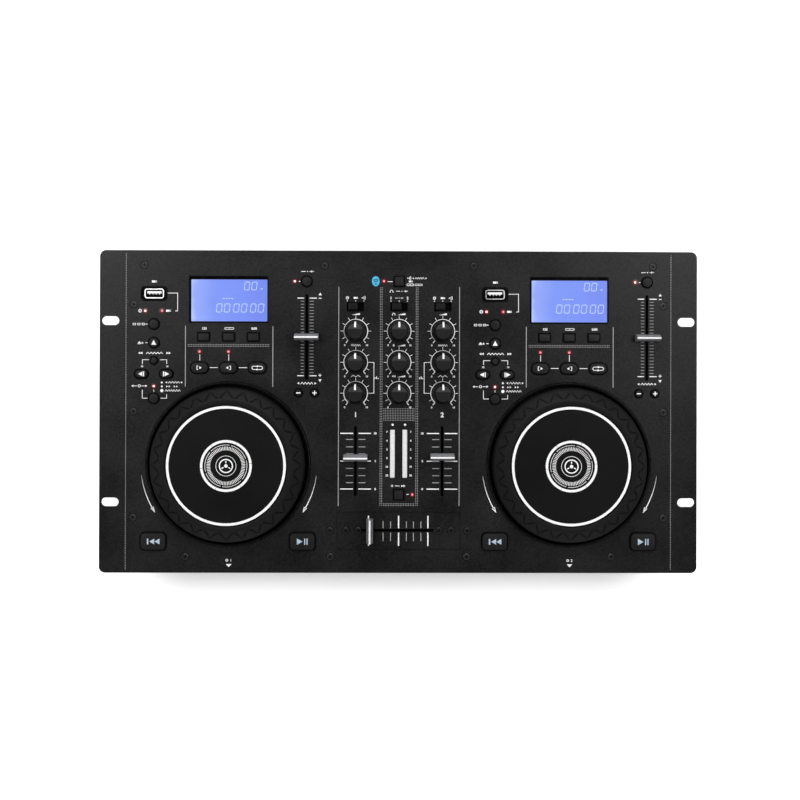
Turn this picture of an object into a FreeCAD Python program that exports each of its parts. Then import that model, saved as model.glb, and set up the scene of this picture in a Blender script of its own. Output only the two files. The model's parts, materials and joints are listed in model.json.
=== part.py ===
import FreeCAD, Part
import math
import os

V = FreeCAD.Vector

# Two disc decks side by side with a mixer between them, built on a 19 inch rack faceplate.
# +X is the user's right, +Y the rear, +Z up. The origin is the middle of the footprint, where the feet stand.

# faceplate, a rack panel with four mounting slots
panel_w = 482.6
panel_d = 260.0
panel_t = 2.0
panel_corner_r = 5.0
rack_pitch_x = 465.1
rack_pitch_y = 146.05
rack_slot_l = 14.0
rack_slot_w = 7.1

# folded sheet case below it, on rubber feet; its walls stand round what it holds
case_h = 80.0
sheet_t = 1.2
lip_side = 4.0          # lips turned in at the top, which the faceplate is screwed to
lip_end = 8.0
foot_h = 8.0
foot_r = 12.0
foot_inset = 28.0

# clearances
key_gap = 0.25      # key cap to the edge of its hole
rocker_gap = 0.45   # the same, round a cap that tilts
seat_gap = 0.25     # a moving piece to the face that stops or carries it
blade_gap = 0.35    # fader blade to its slot
flush_gap = 0.3     # pieces let in flush with a sheet
bearing_gap = 0.05  # jog hub round its pin
bridge_gap = 0.2    # crossfader plate's back flange to the front lip
display_gap = 1.7   # displays to the rear lip
board_side_gap = 4.2    # deck boards to the side walls
board_end_gap = 8.0     # deck boards to the end walls
mixer_board_gap = 5.0   # mixer board to the rear wall
mixer_slider_gap = 9.7  # mixer board to the crossfader's slider

over = 1.0          # how far a cutting body runs past the face that it cuts

# sides of the round pieces that repeat, which keeps their meshes light
key_sides = 20
knob_sides = 24
foot_sides = 16
socket_sides = 16
small_sides = 8

# decks: both have the same layout, about a centre line this far from the middle
deck_x = 137.6
left_column = -60.0     # transport keys
right_column = 63.0     # pitch fader
jog_y = -42.4

# jog wheel
jog_r = 62.0
jog_h = 16.0            # top of the wheel above the panel
jog_top_r = 52.6        # edge of the flat top
jog_shoulder_r = 60.6   # foot of the sloping tread
jog_tread_fall = 5.4
jog_shoulder_fall = 2.0
jog_skirt = 3.0         # rim below the panel's face

# collar round the wheel, a moulded well that also carries its pin
well_r = 66.8           # hole in the panel
collar_w = 1.8
collar_rise = 0.8
well_gap = 4.0          # floor below the rim
well_floor_t = 2.0
ear_w = 14.0            # screw ears below the panel
ear_reach = 4.0
ear_t = 2.0
pin_r = 4.0
pin_h = 9.0             # above the panel's face

# keys
key_proud = 1.6
start_key_proud = 2.2
key_flange = 1.3
key_flange_t = 1.5
key_stem = 3.0
key_stroke = 0.5
round_key = 9.4
small_key = 6.8
bend_key = 7.4
track_key_w = 12.0
track_key_d = 8.0
loop_key_w = 15.5
loop_key_d = 10.0
menu_key_w = 10.3
menu_key_d = 7.4
start_key_w = 21.5
start_key_d = 15.0
start_key_r = 4.0
square_key = 9.0
menu_pitch = 20.0
loop_pitch = 23.3
track_pitch = 20.0
bend_pitch = 13.1
rocker_drop = 1.2       # rocker bar below the panel
rocker_bar_t = 1.6
pivot_w = 2.0

# where the keys and lights stand
select_y = 70.3
eject_y = 55.3
plus_ten_y = 41.0
track_y = 30.2
jog_mode_y = 10.5
pitch_range_y = 105.2
bend_y = 15.2
menu_y = 60.2
loop_y = 35.3
start_y = -104.5
pairing_y = 105.5
fader_start_y = -66.8
source_led_y = 81.0
jog_led_y = 20.3
loop_led_y = 48.2

# faders
slot_w = 2.2
cap_w = 19.4
cap_l = 5.6
cap_h = 10.5
cap_side_h = 5.0
cap_crest = 1.7
cap_lift = 1.0          # cap above the panel
blade_t = 1.2
blade_l = 5.0
blade_depth = 6.0       # blade below the panel
pitch_travel = 60.0
pitch_margin = 2.0      # slot beyond the blade at each end of its travel
pitch_y = 60.3
level_travel = 45.0
level_margin = 3.2
level_x = 35.0
level_y = -39.85
left_level_rest = 3.05  # caps above the middle of their travel
right_level_rest = 3.85
cross_travel = 45.0
cross_margin = 4.0
cross_x = -0.8
cross_y = -95.7
slider_body_w = 12.0
slider_body_h = 9.0
slider_body_end = 3.5
plate_w = 99.0
plate_d = 30.0
plate_y = -96.0
bridge_end = 11.0       # back flange of the crossfader plate
bridge_side = 3.0
bridge_t = 1.5

# rotary controls
knob_r = 8.2
knob_top_r = 6.7
knob_h = 13.0
knob_lift = 0.6
knob_fall = 1.3         # of the half that carries the pointer
shaft_r = 3.0
shaft_hole_gap = 0.65
pot_size = 12.0
pot_h = 7.0
knob_x = 35.3
knob_rows = (65.2, 40.0, 15.0)

# slide switches
switch_w = 13.6
switch_d = 7.0
switch_cap_w = 7.6
switch_cap_d = 5.6
switch_cap_proud = 0.8
switch_depth = 3.0
switch_wall = 1.5
switch_step = 2.0       # three positions
switch_x = 35.4
switch_y = 85.0

# display windows, lights and meter
window_w = 64.0
window_d = 38.0
window_y = 90.5
glass_drop = 1.0
display_rim = 3.0
display_h = 7.0
led_r = 1.5
led_rise = 0.5
meter_w = 4.2
meter_l = 39.1
meter_y = -33.9
meter_x = 5.0
meter_rise = 0.2

# circuit boards, hung below the panel on posts
board_drop = 15.0
board_t = 1.6
deck_board_w = 152.0
mixer_board_w = 96.0
post_w = 5.0
deck_post_x = 45.0
deck_post_y = (100.0, -102.5)
mixer_post_x = 45.0
mixer_post_y = (100.0, -74.5)
contact_gap = 0.25      # left between a stem and its contact at the end of the stroke

# sockets
usb_w = 15.5
usb_d = 8.5
usb_hole_w = 20.0
usb_hole_d = 10.5
usb_hole_r = 2.0
usb_y = 95.0
usb_drop = 0.4
usb_wall = 1.4
usb_bore = 10.0
usb_tongue_t = 2.0
usb_tongue_drop = 1.0
usb_collar_h = 3.0
usb_collar_drop = 1.2
phono_r = 4.15
phono_l = 7.4
phono_bore_r = 1.7
phono_bore = 9.0
phono_pitch = 18.0
phono_x = (-160.0, -134.0, -80.0)
phono_z = 50.0
phono_body_w = 14.0
phono_body_l = 10.0
jack_x = 21.0
jack_z = 46.0
jack_bore_r = 3.2
jack_neck_r = 5.0
jack_nut_r = 6.5
jack_nut_t = 3.0
jack_body = 15.0
jack_l = 28.0
inlet_x = 170.0
inlet_w = 27.0
inlet_d = 20.0
inlet_l = 22.0
inlet_rim = 2.0
inlet_rim_t = 2.0
inlet_wall = 1.8
inlet_bore = 16.5
power_x = 132.0
power_w = 19.0
power_d = 13.0
power_l = 14.0
power_wall = 1.3
power_angle = 8.0
power_crest = 3.6
power_fall = 1.3
power_depth = 3.5
power_swing = 0.65      # room at each end for the tilted rocker
power_taper = 1.0
power_floor = 2.0

# slot-in disc drives, one below each jog wheel
drive_w = 146.0
drive_d = 152.0
drive_leg = 22.0
drive_leg_w = 8.0
drive_base_t = 12.0
drive_cover_t = 6.0
disc_slot_w = 124.0
disc_slot_h = 6.0
disc_slot_d = 127.0
wall_slot_extra = 1.0
hub_r = 7.5
hub_h = 0.8

# mains power supply on the case floor
supply_gap = 24.0       # to the rear wall
supply_w = 90.0
supply_d = 70.0
supply_leg = 6.0
transformer_x = -18.0
transformer_w = 44.0
transformer_d = 38.0
transformer_h = 32.0
capacitor_x = 22.5
capacitor_pitch = 20.8
capacitor_r = 8.0
capacitor_h = 26.0

z_floor = foot_h + sheet_t
z_under = foot_h + case_h
z_top = z_under + panel_t
z_board = z_under - board_drop
z_stem = z_board + key_stroke + contact_gap
z_disc = z_floor + drive_leg + drive_base_t + disc_slot_h / 2
z_flange = z_under - seat_gap - key_flange_t
case_w = 2 * (deck_x + deck_board_w / 2 + board_side_gap + sheet_t)
front_y = plate_y - plate_d / 2 - bridge_side - bridge_gap - lip_end
rear_y = window_y + window_d / 2 + display_rim + display_gap + lip_end
case_d, case_y = rear_y - front_y, (front_y + rear_y) / 2
supply_y = rear_y - sheet_t - supply_gap - supply_d / 2
decks = {"left": -deck_x, "right": deck_x}
knob_places = [(x, y) for x in (-knob_x, 0.0, knob_x) for y in knob_rows]
phono_heights = (phono_z - phono_pitch / 2, phono_z + phono_pitch / 2)


def block(x, y, w, d, z0, z1):
    return Part.makeBox(w, d, z1 - z0, V(x - w / 2, y - d / 2, z0))


def raised(points, height):
    return Part.Face(Part.makePolygon(points + points[:1])).extrude(V(0, 0, height))


def prism(x, y, r, sides, z0, z1):
    angles = [2 * math.pi * (i + 0.5) / sides for i in range(sides)]
    return raised([V(x + r * math.cos(a), y + r * math.sin(a), z0) for a in angles], z1 - z0)


def pad(x, y, w, d, r, sides, z0, z1):
    # upright pad with corners of radius r, each turned in a quarter of the sides
    steps = sides // 4
    points = []
    for quarter, (sx, sy) in enumerate(((1, 1), (-1, 1), (-1, -1), (1, -1))):
        cx, cy = x + sx * (w / 2 - r), y + sy * (d / 2 - r)
        for i in range(steps + 1):
            a = math.pi / 2 * (quarter + i / steps)
            point = V(cx + r * math.cos(a), cy + r * math.sin(a), z0)
            if not points or point.distanceToPoint(points[-1]) > 1e-6:
                points.append(point)
    if points[0].distanceToPoint(points[-1]) < 1e-6:
        points.pop()
    return raised(points, z1 - z0)


def rounded_plate(x, y, w, d, r, z0, z1):
    # the same with true arcs, for the few large or measured outlines
    plate = block(x, y, w, d, z0, z1)
    upright = [e for e in plate.Edges if abs(e.Vertexes[0].Z - e.Vertexes[1].Z) > 1e-6]
    return plate.makeFillet(r, upright)


def slot(x, y, w, d, z0, z1):
    ends = [Part.makeCylinder(d / 2, z1 - z0, V(x + side * (w - d) / 2, y, z0)) for side in (-1, 1)]
    return joined(block(x, y, w - d, d, z0, z1), *ends)


def turned(x, y, z, profile):
    ring = [V(r, 0, h) for r, h in profile]
    body = Part.Face(Part.makePolygon(ring + ring[:1])).revolve(V(0, 0, 0), V(0, 0, 1), 360)
    body.translate(V(x, y, z))
    return body


def joined(first, *others):
    return first.fuse(list(others)).removeSplitter()


def on_wall(shape, x, z, wall_y):
    # a piece drawn standing at the origin, +Z outwards, set on the front or rear wall
    shape = shape.copy()
    shape.rotate(V(0, 0, 0), V(1, 0, 0), -math.copysign(90, wall_y))
    shape.translate(V(x, wall_y, z))
    return shape


def save(name, *solids):
    shape = solids[0] if len(solids) == 1 else Part.makeCompound(list(solids))
    shape.exportStep(f"parts/{name}.step")


# keys: place, outline and height of each single key of a deck, from the deck's centre line
def deck_keys():
    def disc(x, y, size):
        return x, y, size, size, size / 2, key_proud

    keys = {
        "select": disc(left_column, select_y, round_key),
        "eject": disc(left_column, eject_y, round_key),
        "plus_ten": disc(left_column, plus_ten_y, small_key),
        "jog_mode": disc(left_column, jog_mode_y, round_key),
        "pitch_range": disc(right_column, pitch_range_y, round_key),
    }
    for i, name in enumerate(("loop_in", "loop_out", "reloop")):
        keys[name] = ((i - 1) * loop_pitch, loop_y, loop_key_w, loop_key_d, loop_key_d / 2, key_proud)
    for name, x in (("cue", left_column), ("play", -left_column)):
        keys[name] = (x, start_y, start_key_w, start_key_d, start_key_r, start_key_proud)
    return keys


# keys in pairs on one rocking bar: middle of the bar, pitch and outline of the caps
def deck_rockers():
    return {
        "track": (left_column, track_y, track_pitch, track_key_w, track_key_d),
        "bend": (right_column, bend_y, bend_pitch, bend_key, bend_key),
    }


def mixer_keys():
    return {"pairing": (0.0, pairing_y), "fader_start": (0.0, fader_start_y)}


def led_places():
    source_x = (left_column - 7.0, left_column + 6.5)
    deck = [(x, source_led_y) for x in source_x] + [(left_column, jog_led_y)]
    deck += [(-loop_pitch, loop_led_y), (0.0, loop_led_y), (right_column - 9.7, pitch_range_y)]
    places = [(x + dx, y) for x in decks.values() for dx, y in deck]
    return places + [(-12.3, pairing_y), (11.0, fader_start_y)]


def slot_l(travel, margin):
    return travel + blade_l + 2 * margin


def top_panel():
    z0, z1 = z_under - over, z_top + over
    cuts = [slot(sx * rack_pitch_x / 2, sy * rack_pitch_y / 2, rack_slot_l, rack_slot_w, z0, z1)
            for sx in (-1, 1) for sy in (-1, 1)]
    for x in decks.values():
        cuts.append(Part.makeCylinder(well_r, z1 - z0, V(x, jog_y, z0)))
        cuts.append(block(x, window_y, window_w, window_d, z0, z1))
        cuts.append(pad(x + left_column, usb_y, usb_hole_w, usb_hole_d, usb_hole_r, small_sides, z0, z1))
        cuts += [pad(x + dx, y, w, d, r, key_sides, z0, z1) for dx, y, w, d, r, _ in deck_keys().values()]
        for dx, y, pitch, w, d in deck_rockers().values():
            cuts += [pad(x + dx + side * pitch / 2, y, w, d, d / 2, key_sides, z0, z1) for side in (-1, 1)]
        cuts += [block(x + i * menu_pitch, menu_y, menu_key_w, menu_key_d, z0, z1) for i in (-1, 0, 1)]
        cuts.append(block(x + right_column, pitch_y, slot_w, slot_l(pitch_travel, pitch_margin), z0, z1))
    for x in (-level_x, level_x):
        cuts.append(block(x, level_y, slot_w, slot_l(level_travel, level_margin), z0, z1))
    cuts += [prism(x, y, shaft_r + shaft_hole_gap, small_sides, z0, z1) for x, y in knob_places]
    cuts += [block(x, switch_y, switch_w, switch_d, z0, z1) for x in (-switch_x, 0, switch_x)]
    cuts += [block(x, y, square_key, square_key, z0, z1) for x, y in mixer_keys().values()]
    cuts += [block(x, meter_y, meter_w, meter_l, z0, z1) for x in (-meter_x, meter_x)]
    cuts += [prism(x, y, led_r + flush_gap / 2, small_sides, z0, z1) for x, y in led_places()]
    cuts.append(block(0, plate_y, plate_w + 2 * flush_gap, plate_d + 2 * flush_gap, z0, z1))
    save("top_panel", rounded_plate(0, 0, panel_w, panel_d, panel_corner_r, z_under, z_top).cut(cuts))


def case_tub():
    inner = block(0, case_y, case_w - 2 * sheet_t, case_d - 2 * sheet_t, z_floor, z_under - sheet_t)
    low, high = z_under - sheet_t - over, z_under + over
    mouth = block(0, case_y, case_w - 2 * lip_side, case_d - 2 * lip_end, low, high)
    through = sheet_t + over
    cuts = [inner, mouth]
    extra = 2 * wall_slot_extra
    disc_slot = block(0, 0, disc_slot_w + extra, disc_slot_h + extra, -through, over)
    cuts += [on_wall(disc_slot, x, z_disc, front_y) for x in decks.values()]
    jack_hole = prism(0, 0, jack_neck_r + flush_gap, socket_sides, -through, over)
    cuts += [on_wall(jack_hole, x, jack_z, front_y) for x in (-jack_x, jack_x)]
    phono_hole = prism(0, 0, phono_r + flush_gap, socket_sides, -through, over)
    cuts += [on_wall(phono_hole, x, z, rear_y) for x in phono_x for z in phono_heights]
    inlet_hole = block(0, 0, inlet_w + 2 * flush_gap, inlet_d + 2 * flush_gap, -through, over)
    power_hole = block(0, 0, power_w + 2 * flush_gap, power_d + 2 * flush_gap, -through, over)
    cuts += [on_wall(inlet_hole, inlet_x, phono_z, rear_y), on_wall(power_hole, power_x, phono_z, rear_y)]
    save("case_tub", block(0, case_y, case_w, case_d, foot_h, z_under).cut(cuts))


def feet():
    x = case_w / 2 - foot_inset
    rows = (front_y + foot_inset, rear_y - foot_inset)
    save("feet", *[prism(sx * x, y, foot_r, foot_sides, 0, foot_h) for sx in (-1, 1) for y in rows])


def stem(x, y, top):
    return block(x, y, key_stem, key_stem, z_stem, top)


def single_key(x, y, w, d, r, proud):
    base = z_flange + key_flange_t
    w_cap, d_cap = w - 2 * key_gap, d - 2 * key_gap
    if r:
        cap = pad(x, y, w_cap, d_cap, r - key_gap, key_sides, base, z_top + proud)
    else:
        cap = block(x, y, w_cap, d_cap, base, z_top + proud)
    flange = block(x, y, w + 2 * key_flange, d + 2 * key_flange, z_flange, base)
    return joined(cap, flange, stem(x, y, z_flange))


def rocker(x, y, pitch, w, d):
    high = z_under - rocker_drop
    low = high - rocker_bar_t
    gap = 2 * rocker_gap
    parts = [block(x, y, pitch + w - gap, d - gap, low, high)]
    for cx in (x - pitch / 2, x + pitch / 2):
        parts.append(pad(cx, y, w - gap, d - gap, (d - gap) / 2, key_sides, high, z_top + key_proud))
        parts.append(stem(cx, y, low))
    return joined(*parts)


def menu_keys(x):
    keys = [single_key(x + i * menu_pitch, menu_y, menu_key_w, menu_key_d, 0, key_proud) for i in (-1, 0, 1)]
    strip = block(x, menu_y, 2 * menu_pitch, menu_key_d + 2 * key_flange, z_flange, z_flange + key_flange_t)
    return joined(strip, *keys)


def keys():
    for side, x in decks.items():
        for name, (dx, *shape) in deck_keys().items():
            save(f"{side}_{name}_key", single_key(x + dx, *shape))
        for name, (dx, *shape) in deck_rockers().items():
            save(f"{side}_{name}_rocker", rocker(x + dx, *shape))
        save(f"{side}_menu_keys", menu_keys(x))
    for name, (x, y) in mixer_keys().items():
        save(f"{name}_key", single_key(x, y, square_key, square_key, 0, key_proud))


def jog_wheels():
    bore = pin_r + bearing_gap
    profile = [
        (0, pin_h + seat_gap), (bore, pin_h + seat_gap), (bore, -jog_skirt), (jog_r, -jog_skirt),
        (jog_r, jog_h - jog_tread_fall - jog_shoulder_fall), (jog_shoulder_r, jog_h - jog_tread_fall),
        (jog_top_r, jog_h), (0, jog_h),
    ]
    for side, x in decks.items():
        save(f"{side}_jog_wheel", turned(x, jog_y, z_top, profile))


def jog_collars():
    outer = well_r - flush_gap
    inner = outer - collar_w
    floor = -jog_skirt - well_gap
    base = floor - well_floor_t
    profile = [
        (0, base), (outer, base), (outer, collar_rise), (inner, collar_rise), (inner, floor),
        (pin_r, floor), (pin_r, pin_h), (0, pin_h),
    ]
    span = 2 * (outer + ear_reach)
    low = z_under - ear_t
    collars = []
    for x in decks.values():
        ears = joined(block(x, jog_y, span, ear_w, low, z_under), block(x, jog_y, ear_w, span, low, z_under))
        ears = ears.cut(Part.makeCylinder(outer - collar_w / 2, ear_t + 2 * over, V(x, jog_y, low - over)))
        collars.append(joined(turned(x, jog_y, z_top, profile), ears))
    save("jog_collars", *collars)


def fader(x, y, along_x):
    # cap with a narrow crest across the travel, on a blade that reaches into the slider
    low, high = z_top + cap_lift, z_top + cap_lift + cap_h
    half, crest, shoulder = cap_l / 2, cap_crest / 2, low + cap_side_h
    section = [(-half, low), (half, low), (half, shoulder), (crest, high), (-crest, high), (-half, shoulder)]
    ring = [V(-cap_w / 2, v, z) for v, z in section]
    cap = Part.Face(Part.makePolygon(ring + ring[:1])).extrude(V(cap_w, 0, 0))
    whole = joined(cap, block(0, 0, blade_t, blade_l, z_under - blade_depth, low))
    if along_x:
        whole.rotate(V(0, 0, 0), V(0, 0, 1), 90)
    whole.translate(V(x, y, 0))
    return whole


def faders():
    for side, x in decks.items():
        save(f"{side}_pitch_fader", fader(x + right_column, pitch_y, False))
    for side, x, rest in (("left", -level_x, left_level_rest), ("right", level_x, right_level_rest)):
        save(f"{side}_level_fader", fader(x, level_y + rest, False))
    save("crossfader", fader(cross_x - cross_travel / 2, cross_y, True))


def slider_body(x, y, length, along_x, top):
    groove_w = blade_t + 2 * blade_gap
    body = block(0, 0, slider_body_w, length + 2 * slider_body_end, top - slider_body_h, top)
    body = body.cut(block(0, 0, groove_w, length, z_under - blade_depth - seat_gap, top + over))
    if along_x:
        body.rotate(V(0, 0, 0), V(0, 0, 1), 90)
    body.translate(V(x, y, 0))
    return body


def switch_body(x):
    floor = z_under - switch_depth
    wall = 2 * switch_wall
    body = block(x, switch_y, switch_w + wall, switch_d + wall, floor - switch_wall, z_under)
    return body.cut(block(x, switch_y, switch_w, switch_d, floor, z_under + over))


def slider_bodies():
    pitch_l, level_l = slot_l(pitch_travel, pitch_margin), slot_l(level_travel, level_margin)
    bodies = [slider_body(x + right_column, pitch_y, pitch_l, False, z_under) for x in decks.values()]
    bodies += [slider_body(x, level_y, level_l, False, z_under) for x in (-level_x, level_x)]
    bodies.append(slider_body(cross_x, cross_y, slot_l(cross_travel, cross_margin), True, z_under - bridge_t))
    bodies += [switch_body(x) for x in (-switch_x, 0, switch_x)]
    save("slider_bodies", *bodies)


def switch_caps():
    low, high = z_under - switch_depth + seat_gap, z_top + switch_cap_proud
    for name, x in (("left_source", -switch_x), ("cue_select", 0.0), ("right_source", switch_x)):
        save(f"{name}_switch", block(x - switch_step, switch_y, switch_cap_w, switch_cap_d, low, high))


def crossfader_plate():
    z0 = z_under - bridge_t
    plate = block(0, plate_y, plate_w, plate_d, z_under, z_top)
    bridge = block(0, plate_y, plate_w + 2 * bridge_end, plate_d + 2 * bridge_side, z0, z_under)
    cut = block(cross_x, cross_y, slot_l(cross_travel, cross_margin), slot_w, z0 - over, z_top + over)
    save("crossfader_plate", joined(plate, bridge).cut(cut))


def frustum(r0, r1, sides, z0, z1):
    # tapered body of flat sides, like the faceted grip of a knob
    angles = [2 * math.pi * (i + 0.5) / sides for i in range(sides)]
    low, high = ([V(r * math.cos(a), r * math.sin(a), z) for a in angles] for r, z in ((r0, z0), (r1, z1)))
    faces = [Part.Face(Part.makePolygon(ring + ring[:1])) for ring in (low, high)]
    for i in range(sides):
        j = (i + 1) % sides
        faces.append(Part.Face(Part.makePolygon([low[i], low[j], high[j], high[i], low[i]])))
    return Part.Solid(Part.Shell(faces))


def knobs():
    low, high = z_top + knob_lift, z_top + knob_lift + knob_h
    reach = 2 * knob_top_r
    wedge = [V(-reach, 0, high), V(-reach, reach, high - 2 * knob_fall), V(-reach, reach, high + over),
             V(-reach, 0, high + over)]
    slope = Part.Face(Part.makePolygon(wedge + wedge[:1])).extrude(V(2 * reach, 0, 0))
    cap = frustum(knob_r, knob_top_r, knob_sides, low, high).cut(slope)
    shaft = prism(0, 0, shaft_r, small_sides, z_board + pot_h + seat_gap, low)
    knob = joined(cap, shaft)
    names = (("left_gain", "left_high", "left_low"), ("cue_volume", "mic_volume", "master_volume"),
             ("right_gain", "right_high", "right_low"))
    for column, x in zip(names, (-knob_x, 0.0, knob_x)):
        for name, y in zip(column, knob_rows):
            copy = knob.copy()
            copy.translate(V(x, y, 0))
            save(f"{name}_knob", copy)


def displays():
    units = []
    rim, gap = 2 * display_rim, 2 * flush_gap
    for x in decks.values():
        body = block(x, window_y, window_w + rim, window_d + rim, z_under - display_h, z_under)
        glass = block(x, window_y, window_w - gap, window_d - gap, z_under, z_top - glass_drop)
        units.append(joined(body, glass))
    save("displays", *units)


def indicator_lights():
    # light guides that stand on the boards and show through the panel
    lights = [prism(x, y, led_r, small_sides, z_board, z_top + led_rise) for x, y in led_places()]
    w, l = meter_w - flush_gap, meter_l - flush_gap
    lights += [block(x, meter_y, w, l, z_board, z_top + meter_rise) for x in (-meter_x, meter_x)]
    save("indicator_lights", *lights)


def circuit_boards():
    boards = []
    deck_board_y = (front_y + sheet_t + board_end_gap, rear_y - sheet_t - board_end_gap)
    mixer_board_y = (cross_y + slider_body_w / 2 + mixer_slider_gap, rear_y - sheet_t - mixer_board_gap)
    ridge = z_under - rocker_drop - rocker_bar_t - seat_gap
    rockers = deck_rockers().values()
    for x in decks.values():
        pivots = [block(x + dx, y, pivot_w, d, z_board, ridge) for dx, y, _, _, d in rockers]
        posts = [(x + sx * deck_post_x, y) for sx in (-1, 1) for y in deck_post_y]
        boards.append(board(x, deck_board_w, deck_board_y, posts, pivots))
    pots = [block(x, y, pot_size, pot_size, z_board, z_board + pot_h) for x, y in knob_places]
    posts = [(sx * mixer_post_x, y) for sx in (-1, 1) for y in mixer_post_y]
    boards.append(board(0, mixer_board_w, mixer_board_y, posts, pots))
    save("circuit_boards", *boards)


def board(x, w, ends, posts, others):
    sheet = block(x, sum(ends) / 2, w, ends[1] - ends[0], z_board - board_t, z_board)
    return joined(sheet, *[block(px, py, post_w, post_w, z_board, z_under) for px, py in posts], *others)


def usb_socket(x):
    top, floor, rim = z_top - usb_drop, z_top - usb_drop - usb_bore, z_top - usb_collar_drop
    gap = 2 * flush_gap
    bore_w, bore_d = usb_w - 2 * usb_wall, usb_d - 2 * usb_wall
    shell = block(x, usb_y, usb_w, usb_d, z_board, top)
    shell = shell.cut(block(x, usb_y, bore_w, bore_d, floor, top + over))
    tongue = block(x, usb_y, bore_w - 2 * usb_wall, usb_tongue_t, floor, top - usb_tongue_drop)
    collar = pad(x, usb_y, usb_hole_w - gap, usb_hole_d - gap, usb_hole_r - flush_gap, small_sides,
                 rim - usb_collar_h, rim)
    collar = collar.cut(block(x, usb_y, usb_w, usb_d, z_board, z_top))
    return joined(shell, tongue, collar)


def phono_sockets(x):
    body = block(0, 0, phono_body_w, phono_pitch + phono_body_w, -sheet_t - phono_body_l, -sheet_t)
    ys = (-phono_pitch / 2, phono_pitch / 2)
    barrels = [prism(0, y, phono_r, socket_sides, -sheet_t, phono_l) for y in ys]
    bores = [prism(0, y, phono_bore_r, small_sides, phono_l - phono_bore, phono_l + over) for y in ys]
    return on_wall(joined(body, *barrels).cut(bores), x, phono_z, rear_y)


def jack_socket(x):
    body = block(0, 0, jack_body, jack_body, -sheet_t - jack_l, -sheet_t)
    neck = prism(0, 0, jack_neck_r, socket_sides, -sheet_t, 0)
    nut = prism(0, 0, jack_nut_r, 6, 0, jack_nut_t)
    bore = Part.makeCylinder(jack_bore_r, jack_l + jack_nut_t, V(0, 0, jack_nut_t - jack_l))
    return on_wall(joined(body, neck, nut).cut(bore), x, jack_z, front_y)


def framed_socket(w, d, length, wall, rim, rim_t, bore):
    # a snap-in housing with a rim outside the wall and a pocket in its face
    body = joined(block(0, 0, w, d, -length, 0), block(0, 0, w + 2 * rim, d + 2 * rim, 0, rim_t))
    return body.cut(block(0, 0, w - 2 * wall, d - 2 * wall, rim_t - bore, rim_t + over))


def sockets():
    inlet = framed_socket(inlet_w, inlet_d, inlet_l, inlet_wall, inlet_rim, inlet_rim_t, inlet_bore)
    pocket = power_l + inlet_rim_t - power_floor
    frame = framed_socket(power_w, power_d, power_l, power_wall, inlet_rim, inlet_rim_t, pocket)
    pieces = [usb_socket(x + left_column) for x in decks.values()]
    pieces += [phono_sockets(x) for x in phono_x]
    pieces += [jack_socket(x) for x in (-jack_x, jack_x)]
    pieces += [on_wall(inlet, inlet_x, phono_z, rear_y), on_wall(frame, power_x, phono_z, rear_y)]
    save("sockets", *pieces)


def power_rocker():
    # two faces that meet in a blunt crest, resting with one side down
    half = power_w / 2 - power_wall - power_swing
    foot = half - power_taper
    section = [(-half, power_crest - power_fall), (0, power_crest), (half, power_crest - power_fall),
               (foot, -power_depth), (-foot, -power_depth)]
    depth = power_d - 2 * power_wall - 2 * seat_gap
    ring = [V(x, -depth / 2, z) for x, z in section]
    body = Part.Face(Part.makePolygon(ring + ring[:1])).extrude(V(0, depth, 0))
    body.rotate(V(0, 0, 0), V(0, 1, 0), power_angle)
    save("power_rocker", on_wall(body, power_x, phono_z, rear_y))


def disc_drives():
    # a base on four legs, and a cover on two rails and a back stop round the disc's slot
    y0 = front_y + sheet_t
    middle = y0 + drive_d / 2
    z0, z1 = z_disc - disc_slot_h / 2, z_disc + disc_slot_h / 2
    z_base = z0 - drive_base_t
    leg_x, leg_y = (drive_w - drive_leg_w) / 2, (drive_d - drive_leg_w) / 2
    rail_w, stop_d = (drive_w - disc_slot_w) / 2, drive_d - disc_slot_d
    pieces = []
    for x in decks.values():
        hub = prism(x, y0 + disc_slot_d - disc_slot_w / 2, hub_r, socket_sides, z0, z0 + hub_h)
        pieces.append(joined(block(x, middle, drive_w, drive_d, z_base, z0), hub))
        for sx in (-1, 1):
            pieces.append(block(x + sx * (drive_w - rail_w) / 2, middle, rail_w, drive_d, z0, z1))
            for sy in (-1, 1):
                leg = block(x + sx * leg_x, middle + sy * leg_y, drive_leg_w, drive_leg_w, z_floor, z_base)
                pieces.append(leg)
        pieces.append(block(x, y0 + disc_slot_d + stop_d / 2, disc_slot_w, stop_d, z0, z1))
        pieces.append(block(x, middle, drive_w, drive_d, z1, z1 + drive_cover_t))
    save("disc_drives", *pieces)


def power_supply():
    base, top = z_floor + supply_leg, z_floor + supply_leg + board_t
    x, y = (supply_w - post_w) / 2, (supply_d - post_w) / 2
    sheet = block(0, supply_y, supply_w, supply_d, base, top)
    corners = [(sx * x, supply_y + sy * y) for sx in (-1, 1) for sy in (-1, 1)]
    legs = [block(leg_x, leg_y, post_w, post_w, z_floor, base) for leg_x, leg_y in corners]
    transformer = block(transformer_x, supply_y, transformer_w, transformer_d, top, top + transformer_h)
    rows = [supply_y + side * capacitor_pitch / 2 for side in (-1, 1)]
    cans = [prism(capacitor_x, row, capacitor_r, socket_sides, top, top + capacitor_h) for row in rows]
    save("power_supply", joined(sheet, *legs, transformer, *cans))


def main():
    os.makedirs("parts", exist_ok=True)
    top_panel()
    case_tub()
    feet()
    keys()
    jog_wheels()
    jog_collars()
    faders()
    slider_bodies()
    switch_caps()
    crossfader_plate()
    knobs()
    displays()
    indicator_lights()
    circuit_boards()
    sockets()
    power_rocker()
    disc_drives()
    power_supply()


main()
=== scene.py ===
import bmesh
import bpy
import json
import math
from mathutils import Matrix, Vector

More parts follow.
